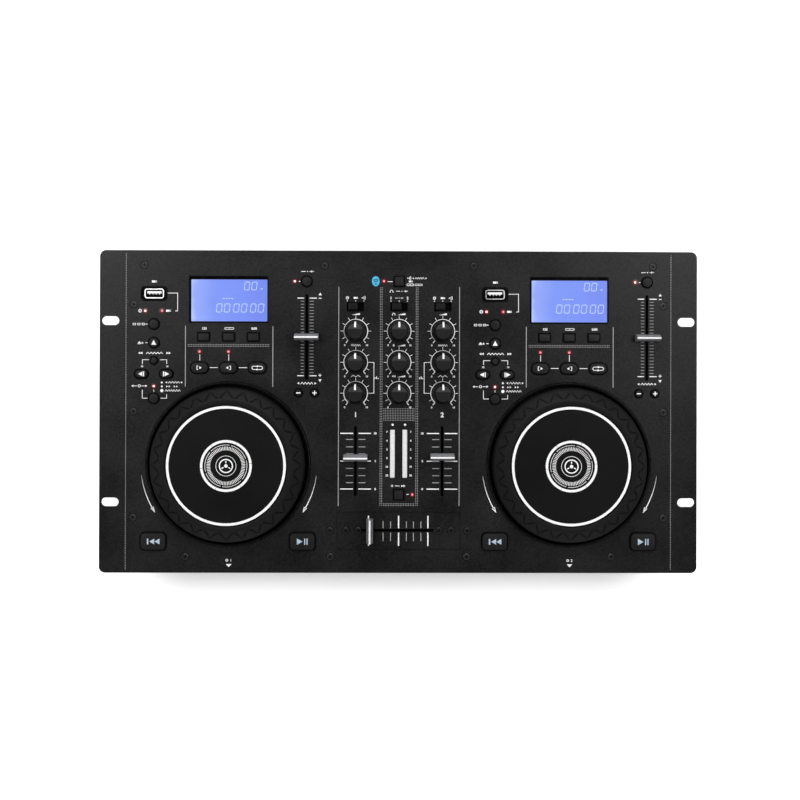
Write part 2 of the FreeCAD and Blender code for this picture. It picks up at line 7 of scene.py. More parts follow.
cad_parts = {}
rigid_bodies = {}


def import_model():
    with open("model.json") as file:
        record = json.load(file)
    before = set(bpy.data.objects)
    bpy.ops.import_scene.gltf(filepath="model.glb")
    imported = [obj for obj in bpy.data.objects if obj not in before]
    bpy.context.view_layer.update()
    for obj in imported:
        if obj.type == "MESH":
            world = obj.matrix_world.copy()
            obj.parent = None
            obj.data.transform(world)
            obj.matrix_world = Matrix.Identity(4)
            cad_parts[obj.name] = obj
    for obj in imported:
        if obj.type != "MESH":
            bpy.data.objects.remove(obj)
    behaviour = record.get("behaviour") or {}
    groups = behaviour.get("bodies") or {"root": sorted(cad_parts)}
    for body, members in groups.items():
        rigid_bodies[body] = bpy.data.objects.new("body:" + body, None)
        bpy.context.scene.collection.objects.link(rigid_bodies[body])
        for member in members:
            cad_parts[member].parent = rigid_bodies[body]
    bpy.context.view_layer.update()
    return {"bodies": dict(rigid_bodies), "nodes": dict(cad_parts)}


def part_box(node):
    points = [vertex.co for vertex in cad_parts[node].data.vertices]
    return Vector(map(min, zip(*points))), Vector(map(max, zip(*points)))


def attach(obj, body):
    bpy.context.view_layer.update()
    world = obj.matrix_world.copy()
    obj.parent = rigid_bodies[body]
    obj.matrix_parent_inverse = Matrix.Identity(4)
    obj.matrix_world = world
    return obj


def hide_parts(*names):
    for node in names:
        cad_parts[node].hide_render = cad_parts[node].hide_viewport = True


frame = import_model()
mm = 0.001
sides = ("left", "right")
print("frame loaded,", len(frame["nodes"]), "nodes")


def boxOf(node):  # corners of a node in millimetres
    low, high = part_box(node)
    return low / mm, high / mm


def spanOf(node):  # middle, width, depth, foot and top of a node in millimetres
    low, high = boxOf(node)
    return (low.x + high.x) / 2, (low.y + high.y) / 2, high.x - low.x, high.y - low.y, low.z, high.z


zUnder, zTop = spanOf("top_panel")[4:]      # back and face of the panel
deckX = {side: spanOf(f"{side}_jog_wheel")[0] for side in sides}
jogY = spanOf("left_jog_wheel")[1]
frontY, rearY = (corner.y for corner in boxOf("case_tub"))
inkThick = 0.05
inkZ = (zTop, zTop + inkThick)      # printed marks lie on the panel between these heights


def linear(hexText):
    values = [int(hexText[i:i + 2], 16) / 255 for i in (1, 3, 5)]
    return [v / 12.92 if v <= 0.04045 else ((v + 0.055) / 1.055) ** 2.4 for v in values] + [1.0]


def addNode(tree, kind, settings=None, inputs=None):
    node = tree.nodes.new(kind)
    for name, value in (settings or {}).items():
        setattr(node, name, value)
    for name, value in (inputs or {}).items():
        if isinstance(value, bpy.types.NodeSocket):
            tree.links.new(value, node.inputs[name])
        else:
            node.inputs[name].default_value = value
    return node


def noise(tree, place, scale, detail):
    return addNode(tree, "ShaderNodeTexNoise", {}, {
        "Vector": place, "Scale": scale, "Detail": detail}).outputs


def maths(tree, operation, *values, clamp=False):
    settings = {"operation": operation, "use_clamp": clamp}
    return addNode(tree, "ShaderNodeMath", settings, dict(enumerate(values))).outputs[0]


def remap(tree, value, start, end, fromStart=0.0, fromEnd=1.0):
    return addNode(tree, "ShaderNodeMapRange", {}, {
        "Value": value, "From Min": fromStart, "From Max": fromEnd,
        "To Min": start, "To Max": end}).outputs[0]


def toneRamp(tree, value, stops):
    node = addNode(tree, "ShaderNodeValToRGB", {}, {"Fac": value})
    elements = node.color_ramp.elements
    while len(elements) < len(stops):
        elements.new(0.5)
    for element, (position, colour) in zip(elements, stops):
        element.position, element.color = position, linear(colour)
    return node.outputs["Color"]


def startMaterial(name):
    material = bpy.data.materials.new(name)
    material.use_nodes = True
    tree = material.node_tree
    tree.nodes.clear()
    return material, tree, addNode(tree, "ShaderNodeTexCoord").outputs["Object"]


def endMaterial(material, inputs, kind="ShaderNodeBsdfPrincipled"):
    shader = addNode(material.node_tree, kind, {}, inputs)
    addNode(material.node_tree, "ShaderNodeOutputMaterial", {}, {"Surface": shader.outputs[0]})
    return material


# a film or a skin with a fine grain: two close tones, a cloudy roughness and a small bump
def grainedSurface(name, dark, light, grain, rough, specular=0.3, bump=0.3, metallic=0.0, depth=0.03,
                   glow=0.0):
    material, tree, place = startMaterial(name)
    fine = noise(tree, place, 1 / (grain * mm), 4.0)[0]
    cloud = noise(tree, place, 1 / (45 * mm), 3.0)[0]
    tone = toneRamp(tree, maths(tree, "MULTIPLY_ADD", cloud, 0.4, fine), ((0.5, dark), (0.9, light)))
    relief = addNode(tree, "ShaderNodeBump", {}, {"Height": fine, "Strength": bump, "Distance": depth * mm})
    return endMaterial(material, {
        "Base Color": tone, "Roughness": remap(tree, cloud, rough - 0.06, rough + 0.06, 0.3, 0.7),
        "Normal": relief.outputs[0], "Specular IOR Level": specular, "Metallic": metallic,
        "Emission Strength": glow})


def glowingLens(name, colour, strength):
    # tinted acrylic with a lamp behind it: an even colour with a faint cloud in it
    material, tree, place = startMaterial(name)
    tone = addNode(tree, "ShaderNodeMix", {"data_type": "RGBA", "blend_type": "MULTIPLY"}, {
        "Factor": 0.15, 6: linear(colour), 7: noise(tree, place, 1 / (1.2 * mm), 1.0)[1]}).outputs[2]
    return endMaterial(material, {
        "Base Color": tone, "Roughness": 0.25, "Emission Color": tone, "Emission Strength": strength})


def backlitCrystal():
    # edge-lit blue display: palest at its lit left edge, deeper to the right, with a soft cloud
    material, tree, _ = startMaterial("backlitCrystal")
    uv = addNode(tree, "ShaderNodeUVMap", {"uv_map": "screen"}).outputs[0]
    across = addNode(tree, "ShaderNodeSeparateXYZ", {}, {0: uv}).outputs[0]
    tone = toneRamp(tree, maths(tree, "MULTIPLY_ADD", noise(tree, uv, 2.2, 1.0)[0], 0.22, across), (
        (0.08, "#bccfff"), (0.17, "#95abfa"), (0.40, "#7f99f8"), (0.8, "#7993f7"), (1.0, "#768df2")))
    return endMaterial(material, {
        "Base Color": linear("#0a0f24"), "Roughness": 0.3, "Emission Color": tone, "Emission Strength": 1.2})


def clearAcrylic():
    # thin clear window: reflects a little and lets the display through
    material, tree, place = startMaterial("clearAcrylic")
    smear = noise(tree, place, 1 / (30 * mm), 2.0)[0]
    return endMaterial(material, {
        "Base Color": linear("#0c0e14"), "Roughness": remap(tree, smear, 0.02, 0.08),
        "IOR": 1.49, "Alpha": 0.1, "Specular IOR Level": 0.3})


def solderMask():
    # green lacquer over copper tracks, a few millimetres apart
    material, tree, place = startMaterial("solderMask")
    tracks = addNode(tree, "ShaderNodeTexBrick", {"offset": 0.4}, {
        "Vector": place, "Color1": linear("#0e4a22"), "Color2": linear("#0b3f1d"),
        "Mortar": linear("#1f7a3c"), "Scale": 1 / (4 * mm), "Mortar Size": 0.08})
    return endMaterial(material, {"Base Color": tracks.outputs["Color"], "Roughness": 0.35})


# dark and light tone, size of the grain in mm, roughness, specular level, strength of the bump,
# and where they differ from a plain skin: metallic, depth of the grain in mm, glow
grained = {
    # baked polyester powder on steel: charcoal, satin, a fine orange peel that reads as faint specks
    "powderCoatCharcoal": ("#090909", "#1f1f20", 1.4, 0.34, 0.2, 0.3),
    # the same powder in plain black, on the folded case
    "powderCoatBlack": ("#111112", "#1b1b1c", 0.9, 0.5, 0.25, 0.4),
    # moulded soft-touch rubber: matte, a little dusty in its grain; the tread's ribs are blacker
    "softTouchRubber": ("#09090a", "#121213", 1.1, 0.55, 0.12, 0.5, 0.0, 0.06),
    "treadRubber": ("#050506", "#0d0d0e", 1.1, 0.6, 0.06, 0.5, 0.0, 0.06),
    # dark grey ABS on the crests of the collars round the wheels, paler than the black collar: a painted
    # highlight
    "collarCrestHighlight": ("#1c1c1d", "#272728", 0.45, 0.4, 0.2, 0.2),
    # moulded polycarbonate plate with a matte film, smoother than the panel
    "filmedDisc": ("#090909", "#0f0f10", 0.5, 0.45, 0.1, 0.12),
    # spark-eroded black ABS on the tops of the keys
    "mouldedAbsBlack": ("#121213", "#1c1c1d", 0.45, 0.44, 0.16, 0.25),
    # black ABS of housings, collars, bezels and drives; the same black also stands as painted shade in
    # recesses, in rings round the keys and screws, in the screws' crosses, and on the sides of caps and
    # knobs, darker than their tops
    "jetAbsAndPaintedShade": ("#030303", "#070707", 0.5, 0.45, 0.05, 0.2),
    # dark grey ABS with a sheen on the knobs' caps; the sloping part is painted paler, a painted highlight
    # where it faces the rear light
    "mouldedAbsGrey": ("#141415", "#1c1c1d", 0.5, 0.4, 0.15, 0.2),
    "knobSlopePaintedHighlight": ("#29292b", "#323234", 0.5, 0.4, 0.2, 0.2),
    # silver-grey painted ABS of the fader caps
    "satinSilverAbs": ("#65666a", "#7d7e82", 0.6, 0.36, 0.45, 0.15),
    # near-black moulded slide caps
    "slideCapGrey": ("#0d0d0e", "#171718", 0.5, 0.5, 0.12, 0.2),
    # screen-printed epoxy ink, opaque white with a slightly uneven film
    "screenInkWhite": ("#f0f0f0", "#ffffff", 1.5, 0.5, 0.3, 0.1),
    # the same ink under a tint, on the fine lattice
    "screenInkGrey": ("#969696", "#aaaaaa", 1.5, 0.5, 0.2, 0.1),
    # translucent legend of the start keys, with a cold tint
    "legendInkBlue": ("#9fb0c0", "#c3d0dc", 1.5, 0.4, 0.3, 0.1),
    # blue round badge of printed ink, and the dark ink of its sign
    "badgeInkBlue": ("#38a6ca", "#4fbbdd", 1.0, 0.45, 0.3, 0.1),
    "signInkNavy": ("#14406f", "#1a4c80", 1.0, 0.45, 0.2, 0.1),
    # opal acrylic of the meter's bars, lit evenly from behind
    "opalAcrylic": ("#c8c8c8", "#d8d8d8", 2.0, 0.3, 0.4, 0.05, 0.0, 0.03, 0.12),
    # bright nickel plating on socket barrels: fine draw marks
    "nickelPlate": ("#b8b4ac", "#cfccc6", 0.8, 0.24, 0.5, 0.08, 1.0),
    # bright tin plating of the data sockets' shells
    "tinPlate": ("#f2f2f2", "#fdfdfd", 0.8, 0.3, 0.5, 0.05, 1.0),
    # zinc-plated steel of the faders' blades: a dull spangle
    "zincPlate": ("#9a9c9e", "#b4b6b8", 3.0, 0.42, 0.5, 0.1, 1.0),
    # blackened steel of the screws
    "blackenedSteel": ("#1c1c1d", "#2b2b2d", 0.6, 0.34, 0.4, 0.2, 0.4),
    # coloured nylon rings in the phono sockets
    "phonoRed": ("#9c1620", "#b52530", 0.8, 0.35, 0.4, 0.1),
    "phonoWhite": ("#d6d4cc", "#e6e4dc", 0.8, 0.35, 0.4, 0.1),
    # laminated transformer iron and dark sleeves
    "varnishedIron": ("#3a3836", "#4c4946", 0.9, 0.5, 0.35, 0.4),
}
glowing = {     # colour and strength
    "lensCore": ("#ffc4ca", 1.0),
    "lensCoreDim": ("#c8747c", 0.75),
    "lensRed": ("#5c0e17", 0.45),
    "lensSpill": ("#48080f", 0.6),      # red light that falls on the paint round a lens
    "segmentGlow": ("#c4d6ff", 0.85),
}
finish = {name: grainedSurface(name, *values) for name, values in grained.items()}
finish.update({name: glowingLens(name, *values) for name, values in glowing.items()})
finish.update({made.name: made for made in (backlitCrystal(), clearAcrylic(), solderMask())})
print("materials:", len(finish))


def show(name, data):
    piece = bpy.data.objects.new(name, data)
    bpy.context.scene.collection.objects.link(piece)
    return piece


def toMesh(bm, name):
    # a clean mesh in metres from a shape in millimetres
    bmesh.ops.recalc_face_normals(bm, faces=bm.faces)
    bmesh.ops.scale(bm, vec=(mm, mm, mm), verts=bm.verts)
    mesh = bpy.data.meshes.new(name)
    bm.to_mesh(mesh)
    bm.free()
    return mesh


def smoothed(mesh, angle):
    mesh.polygons.foreach_set("use_smooth", [True] * len(mesh.polygons))
    mesh.set_sharp_from_angle(angle=math.radians(angle))


def assign(piece, material, body, replaced=()):
    # hands a piece to the frame
    if not piece.data.materials:
        piece.data.materials.append(finish[material])
    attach(piece, body)
    if replaced:
        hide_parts(*replaced)


def makePiece(name, bm, material, body, replaced=(), angle=35.0, merge=0.0005, topFinish=None):
    if merge:
        bmesh.ops.remove_doubles(bm, verts=bm.verts, dist=merge)
    mesh = toMesh(bm, name)
    smoothed(mesh, angle)
    # a paler finish on the level top; the darker rest of the piece stands as painted shade
    if topFinish:       # the level top gets its own finish
        mesh.materials.append(finish[material])
        mesh.materials.append(finish[topFinish])
        top = max(v.co.z for v in mesh.vertices)
        for face in mesh.polygons:
            face.material_index = int(face.normal.z > 0.99 and face.center.z > top - 0.01 * mm)
    assign(show(name, mesh), material, body, replaced)


def circle(x, y, radius, steps):
    turn = 2 * math.pi / steps
    return [(x + radius * math.cos(i * turn), y + radius * math.sin(i * turn)) for i in range(steps)]


def roundedOutline(x, y, w, d, r, steps=6):
    points = []
    for quarter, (sx, sy) in enumerate(((1, 1), (-1, 1), (-1, -1), (1, -1))):
        for i in range(steps + 1):
            a = math.pi / 2 * (quarter + i / steps)
            points.append((x + sx * (w / 2 - r) + r * math.cos(a), y + sy * (d / 2 - r) + r * math.sin(a)))
    return points


def rect(x0, y0, x1, y1):
    return [(x0, y0), (x1, y0), (x1, y1), (x0, y1)]


def arc(x, y, radius, first, last, steps):
    # points of an arc; angles in degrees, clockwise from twelve o'clock
    angles = [math.radians(first + (last - first) * i / steps) for i in range(steps + 1)]
    return [(x + radius * math.sin(a), y + radius * math.cos(a)) for a in angles]


def wedge(x, y, w, h, turn):
    # isosceles triangle of width w and height h that points along turn, in degrees from +X
    c, s = math.cos(math.radians(turn)) / 2, math.sin(math.radians(turn)) / 2
    return [(x + c * h, y + s * h), (x - c * h - s * w, y - s * h + c * w),
            (x - c * h + s * w, y - s * h - c * w)]


def zigzag(length, height, turns):
    step = length / (2 * turns)
    return [(-length / 2 + i * step, height / 2 * (1 if i % 2 else -1)) for i in range(2 * turns + 1)]


def mirrored(points):
    return [(-x, y) for x, y in reversed(points)]


def shifted(points, dx):
    return [(x + dx, y) for x, y in points]


def tube(bm, rings, ends="capped"):
    # skin over rings of as many points each; its ends are capped, open or joined to each other
    rings = [[bm.verts.new(point) for point in ring] for ring in rings]
    for low, high in list(zip(rings, rings[1:])) + ([(rings[-1], rings[0])] if ends == "joined" else []):
        for i in range(len(low)):
            j = (i + 1) % len(low)
            bm.faces.new((low[i], low[j], high[j], high[i]))
    if ends == "capped":
        bm.faces.new(rings[0][::-1])
        bm.faces.new(rings[-1])


def stack(bm, loops, ends="capped"):
    # loops of (points, height); a height may be one per point
    rings = []
    for points, height in loops:
        heights = height if isinstance(height, list) else [height] * len(points)
        rings.append([(x, y, z) for (x, y), z in zip(points, heights)])
    tube(bm, rings, ends)


def prism(bm, points, z=inkZ):
    stack(bm, [(points, z[0]), (points, z[1])])


def bar(bm, x, y, w, d, z=inkZ):
    prism(bm, rect(x - w / 2, y - d / 2, x + w / 2, y + d / 2), z)


def lathe(bm, x, y, profile, steps):
    # turned body: (radius, height) from the inside of the underside round to the middle of the top
    rings = [[bm.verts.new((px, py, height)) for px, py in circle(x, y, radius, steps if radius else 1)]
             for radius, height in profile]
    for low, high in zip(rings, rings[1:]):
        for i in range(steps):
            j = (i + 1) % steps
            corners = (low[i % len(low)], low[j % len(low)], high[j % len(high)], high[i % len(high)])
            bm.faces.new(list(dict.fromkeys(corners)))


def ribbon(bm, path, width, z=inkZ, closed=False):
    # printed line along a path, with mitred corners; width may be one per point
    count = len(path)
    widths = width if isinstance(width, list) else [width] * count
    rings = []
    for i, (x, y) in enumerate(path):
        before = path[i - 1] if closed or i else None
        after = path[(i + 1) % count] if closed or i < count - 1 else None
        into = Vector((x - before[0], y - before[1])).normalized() if before else None
        out = Vector((after[0] - x, after[1] - y)).normalized() if after else None
        along = ((into or out) + (out or into)).normalized()
        half = widths[i] / 2 / max(0.5, along.dot(out or into))
        side = Vector((-along.y, along.x)) * half
        edges = ((x + side.x, y + side.y), (x - side.x, y - side.y))
        rings.append([(*edges[0], z[0]), (*edges[1], z[0]), (*edges[1], z[1]), (*edges[0], z[1])])
    tube(bm, rings, "joined" if closed else "capped")


def plainMesh(holder):
    # the mesh that an object makes, by its curve or its modifiers
    bpy.context.view_layer.update()
    return bpy.data.meshes.new_from_object(holder.evaluated_get(bpy.context.evaluated_depsgraph_get()))


def digits(bm, text, x, y, height):
    # plain numerals, a little bold, centred on x and y
    curve = bpy.data.curves.new("numeral", "FONT")
    curve.body, curve.resolution_u = text, 3
    curve.size = height * 1.37      # the built-in face is 0.73 high
    curve.extrude, curve.offset = inkThick / 2, 0.045 * height
    holder = show("numeral", curve)
    mesh = plainMesh(holder)
    bpy.data.objects.remove(holder)
    bpy.data.curves.remove(curve)
    xs, ys = [v.co.x for v in mesh.vertices], [v.co.y for v in mesh.vertices]
    shift = (x - (min(xs) + max(xs)) / 2, y - (min(ys) + max(ys)) / 2, sum(inkZ) / 2)
    mesh.transform(Matrix.Translation(shift))
    bm.from_mesh(mesh)
    bpy.data.meshes.remove(mesh)


backward = [(-1.5, 0.0), (-0.8, -0.42), (-0.8, 0.42)]
furtherBack = shifted(backward, -0.75)
# plain signs in place of words, drawn one unit high about their middle
signs = {
    "disc": (("loop", circle(0, 0, 0.42, 20)), ("fill", circle(0, 0, 0.14, 10))),
    "plug": (("fill", rect(-0.7, -0.32, 0.2, 0.32)), ("line", [(0.2, 0.17), (0.8, 0.17)]),
             ("line", [(0.2, -0.17), (0.8, -0.17)])),
    "menu": tuple(("loop", rect(x - 0.55, -0.34, x + 0.55, 0.34)) for x in (-1.9, 0.0, 1.9)),
    "lift": (("fill", [(-0.55, -0.08), (0.55, -0.08), (0.0, 0.5)]),
             ("fill", rect(-0.55, -0.46, 0.55, -0.24))),
    "seek": (("fill", shifted(backward, -3.2)), ("fill", shifted(furtherBack, -3.2)),
             ("line", zigzag(5.6, 0.55, 5)), ("fill", mirrored(shifted(backward, -3.2))),
             ("fill", mirrored(shifted(furtherBack, -3.2)))),
    "jog": (("loop", circle(0, 0, 0.42, 20)), ("fill", shifted(backward, -1.3)),
            ("line", [(-2.0, 0), (-0.8, 0)]), ("fill", mirrored(shifted(backward, -1.3))),
            ("line", [(0.8, 0), (2.0, 0)])),
    "bend": (("fill", shifted(backward, -2.0)), ("line", zigzag(4.6, 0.7, 4)),
             ("fill", mirrored(shifted(backward, -2.0)))),
    "ahead": tuple(("fill", shifted(mirrored(backward), x)) for x in (-3.0, -2.0, 0.2, 1.2)),
    "scratch": (("line", zigzag(6.6, 0.75, 6)),),
    "balance": (("line", [(-2.2, 0), (-0.7, 0)]), ("line", [(0.7, 0), (2.2, 0)]),
                ("line", [(1.45, -0.4), (1.45, 0.4)]), ("fill", circle(0, 0, 0.2, 10))),
    "repeat": (("loop", roundedOutline(0, 0, 3.6, 0.7, 0.3, 3)), ("fill", circle(0, 0, 0.16, 10))),
    "ramp": (("fill", [(-1.8, -0.42), (1.8, -0.42), (1.8, 0.45)]),),
    "quick": (("line", zigzag(4.2, 0.75, 5)),),
    "slow": (("line", zigzag(4.2, 0.75, 2)),),
    "headphones": (("line", arc(0, -0.12, 0.48, -90, 90, 12)), ("fill", rect(-0.62, -0.5, -0.34, 0.0)),
                   ("fill", rect(0.34, -0.5, 0.62, 0.0))),
    "microphone": (("fill", roundedOutline(0, 0.16, 0.34, 0.66, 0.16, 3)),
                   ("line", arc(0, 0.08, 0.36, 95, 265, 8)), ("line", [(0, -0.26), (0, -0.5)])),
    "speaker": (("fill", [(-0.6, -0.2), (-0.35, -0.2), (-0.05, -0.48), (-0.05, 0.48), (-0.35, 0.2),
                          (-0.6, 0.2)]),
                ("line", arc(-0.1, 0, 0.42, 50, 130, 6)), ("line", arc(-0.1, 0, 0.75, 55, 125, 6))),
    "bands": (("fill", rect(-0.95, -0.5, -0.6, 0.1)), ("fill", rect(-0.3, -0.5, 0.05, 0.5)),
              ("fill", rect(0.35, -0.5, 0.7, -0.1))),
    "link": tuple(("loop", roundedOutline(x, 0, 1.3, 0.7, 0.3, 3)) for x in (-0.62, 0.62)),
    "sender": (("fill", circle(-0.6, 0, 0.2, 10)), ("line", arc(-0.6, 0, 0.6, 45, 135, 6)),
               ("line", arc(-0.6, 0, 1.05, 50, 130, 6))),
    "start": (("line", [(-2.6, -0.45), (-2.6, 0.45)]), ("fill", rect(-3.0, -0.16, -2.2, 0.16)),
              ("line", [(-1.6, 0), (0.2, 0)]), ("fill", mirrored(backward)), ("fill", mirrored(furtherBack))),
}


def addSign(bm, sign, x, y, height, z=inkZ, stroke=0.2):
    for kind, points in sign:
        placed = [(x + px * height, y + py * height) for px, py in points]
        if kind in ("fill", "over"):        # a shape that lies over another one is printed on top of it
            lift = (z[1] - z[0]) * (kind == "over")
            prism(bm, placed, (z[0] + lift, z[1] + lift))
        else:
            ribbon(bm, placed, stroke * height, z, kind == "loop")


# trees for what repeats; each ends in realised instances with one material
def repeatTree(name, sockets):
    tree = bpy.data.node_groups.new(name, "GeometryNodeTree")
    for label, kind in {"Geometry": "Geometry", "Piece": "Object", "Finish": "Material", **sockets}.items():
        tree.interface.new_socket(label, in_out="INPUT", socket_type=f"NodeSocket{kind}")
    tree.interface.new_socket("Geometry", in_out="OUTPUT", socket_type="NodeSocketGeometry")
    return tree, addNode(tree, "NodeGroupInput").outputs


def endTree(tree, given, points, turn=None):
    shape = addNode(tree, "GeometryNodeObjectInfo", {}, {"Object": given["Piece"]}).outputs["Geometry"]
    rotation = (0.0, 0.0, 0.0)
    if turn is not None:
        rotation = addNode(tree, "ShaderNodeCombineXYZ", {}, {"Z": turn}).outputs[0]
    placed = addNode(tree, "GeometryNodeInstanceOnPoints", {}, {
        "Points": points, "Instance": shape, "Rotation": rotation})
    real = addNode(tree, "GeometryNodeRealizeInstances", {}, {"Geometry": placed.outputs[0]})
    done = addNode(tree, "GeometryNodeSetMaterial", {}, {
        "Geometry": real.outputs[0], "Material": given["Finish"]})
    addNode(tree, "NodeGroupOutput", {}, {0: done.outputs[0]})
    return tree


def ringTree():
    # copies turned about the origin by a steady step
    tree, given = repeatTree("copiesInRing", {"Count": "Int", "Step Angle": "Float"})
    points = addNode(tree, "GeometryNodeMeshLine", {}, {"Count": given["Count"], "Offset": (0.0, 0.0, 0.0)})
    turn = maths(tree, "MULTIPLY", addNode(tree, "GeometryNodeInputIndex").outputs[0], given["Step Angle"])
    return endTree(tree, given, points.outputs[0], turn)


def gridTree():
    # copies on a rectangular lattice round a centre
    tree, given = repeatTree("copiesInGrid", {
        "Columns": "Int", "Rows": "Int", "Width": "Float", "Depth": "Float", "Centre": "Vector"})
    grid = addNode(tree, "GeometryNodeMeshGrid", {}, {
        "Size X": given["Width"], "Size Y": given["Depth"], "Vertices X": given["Columns"],
        "Vertices Y": given["Rows"]})
    centred = addNode(tree, "GeometryNodeTransform", {}, {
        "Geometry": grid.outputs[0], "Translation": given["Centre"]})
    return endTree(tree, given, centred.outputs[0])


def scatterTree():
    # copies on the vertices of the piece itself, each with a random turn from a fixed seed
    tree, given = repeatTree("copiesOnPoints", {"Turn": "Float", "Seed": "Int"})
    turn = addNode(tree, "FunctionNodeRandomValue", {"data_type": "FLOAT"}, {
        2: 0.0, 3: given["Turn"], 8: given["Seed"]})
    return endTree(tree, given, given["Geometry"], turn.outputs[1])


trees = {"ring": ringTree(), "grid": gridTree(), "scatter": scatterTree()}


def repeated(name, kind, piece, material, values, points=()):
    # runs a tree once and keeps its result as a plain mesh
    mesh = bpy.data.meshes.new(name)
    mesh.from_pydata([(x * mm, y * mm, z * mm) for x, y, z in points], [], [])
    holder = show(name, mesh)
    modifier = holder.modifiers.new(name, "NODES")
    modifier.node_group = trees[kind]
    given = {"Piece": piece, "Finish": finish[material], **values}
    for socket in trees[kind].interface.items_tree:
        if socket.in_out == "INPUT" and socket.name in given:
            modifier[socket.identifier] = given[socket.name]
    result = plainMesh(holder)
    holder.modifiers.clear()
    holder.data = result
    bpy.data.meshes.remove(mesh)
    return holder


def inRing(name, piece, material, count):
    return repeated(name, "ring", piece, material, {"Count": count, "Step Angle": 2 * math.pi / count})


def pattern(bm):  # a shape that only lends its mesh to copies
    return show("pattern", toMesh(bm, "pattern"))


def moved(piece, name, x, y):
    # a copy of a piece with its place in its mesh
    mesh = piece.data.copy()
    mesh.transform(Matrix.Translation((x * mm, y * mm, 0)))
    return show(name, mesh)


print("tools ready")

# printed marks on the faceplate, in millimetres; deck marks count from the deck's centre line
deckPrint = {
    "grey": {0.62: (((-34.7, 20.0), (-34.7, 69.0)), ((35.7, 20.0), (35.7, 69.0)))},     # lines by their width
    "white": {
        0.45: (((-49.2, 95.4), (-41.1, 95.4), (-41.1, 81.0), (-43.0, 81.0)),
               ((-67.0, 70.3), (-65.2, 70.3)), ((-67.0, 55.3), (-65.2, 55.3)),
               ((-63.9, 41.6), (-69.3, 41.6), (-69.3, 38.2)), ((-54.9, 41.6), (-49.7, 41.6), (-49.7, 38.2)),
               ((-64.9, 10.6), (-69.3, 10.6), (-69.3, 17.4)), ((-54.6, 10.6), (-49.7, 10.6), (-49.7, 13.8)),
               ((-60.0, 17.6), (-60.0, 15.8)), ((56.4, 105.2), (57.8, 105.2)),
               ((-14.9, 35.4), (-8.5, 35.4)), ((8.5, 35.4), (14.9, 35.4)),
               ((-23.1, 46.0), (-23.1, 41.0)), ((0.2, 46.2), (0.2, 41.0))),
        0.6: (((72.7, 91.6), (74.9, 91.6)), ((72.6, 29.4), (75.0, 29.4)), ((73.8, 30.6), (73.8, 28.2))),
    },
    "dots": ((-53.6, 23.3, 0.75), (-53.6, 20.1, 0.75), (-53.6, 16.7, 1.3)),
    "wedges": (((72.5, 94.0), (75.1, 94.0), (73.8, 96.2)), ((75.1, 26.2), (72.5, 26.2), (73.8, 24.0)),
               ((-1.55, -122.95), (0.7, -125.45), (2.95, -122.95))),
    "labels": (("10", -69.5, 36.2, 1.4), ("10", -49.2, 36.2, 1.4), ("123", -19.4, 67.0, 1.9),
               ("0:00", 20.6, 67.0, 1.9)),
    "signs": (("plug", -60.0, 104.7, 2.6), ("disc", -71.2, 81.1, 2.7), ("plug", -48.6, 81.1, 2.5),
              ("menu", -72.2, 70.3, 1.9), ("lift", -71.8, 55.3, 2.4), ("lift", -69.4, 55.3, 1.6),
              ("seek", -59.6, 47.0, 2.4), ("jog", -71.7, 20.5, 2.3), ("bend", -43.8, 23.4, 2.0),
              ("ahead", -45.8, 20.1, 1.9), ("scratch", -44.8, 16.8, 1.9), ("repeat", 0.5, 67.0, 2.0),
              ("balance", 63.5, 113.2, 2.3), ("bend", 63.2, 22.9, 2.2), ("disc", -0.8, -119.9, 2.1)),
    "number": (2.4, -119.9, 1.9),
    "faderX": 63.0,
    "scale": (91.7, 29.0, 25),      # heights of the pitch fader's first and last tick, steps between
    "endTick": (7.5, 8.0, 0.7),     # reach to the left and to the right, width
    "tick": (4.8, 5.6, 0.42),
    "tickInner": 2.2,
    "sweep": (71.0, 97.5, 121.0),   # radius, first and last angle of the arrows beside the wheel
    "sweepX": 0.7,
    "sweepWidth": (0.12, 0.87),
    "sweepHead": (3.0, 1.8, 1.4),   # ahead, back, half width
}
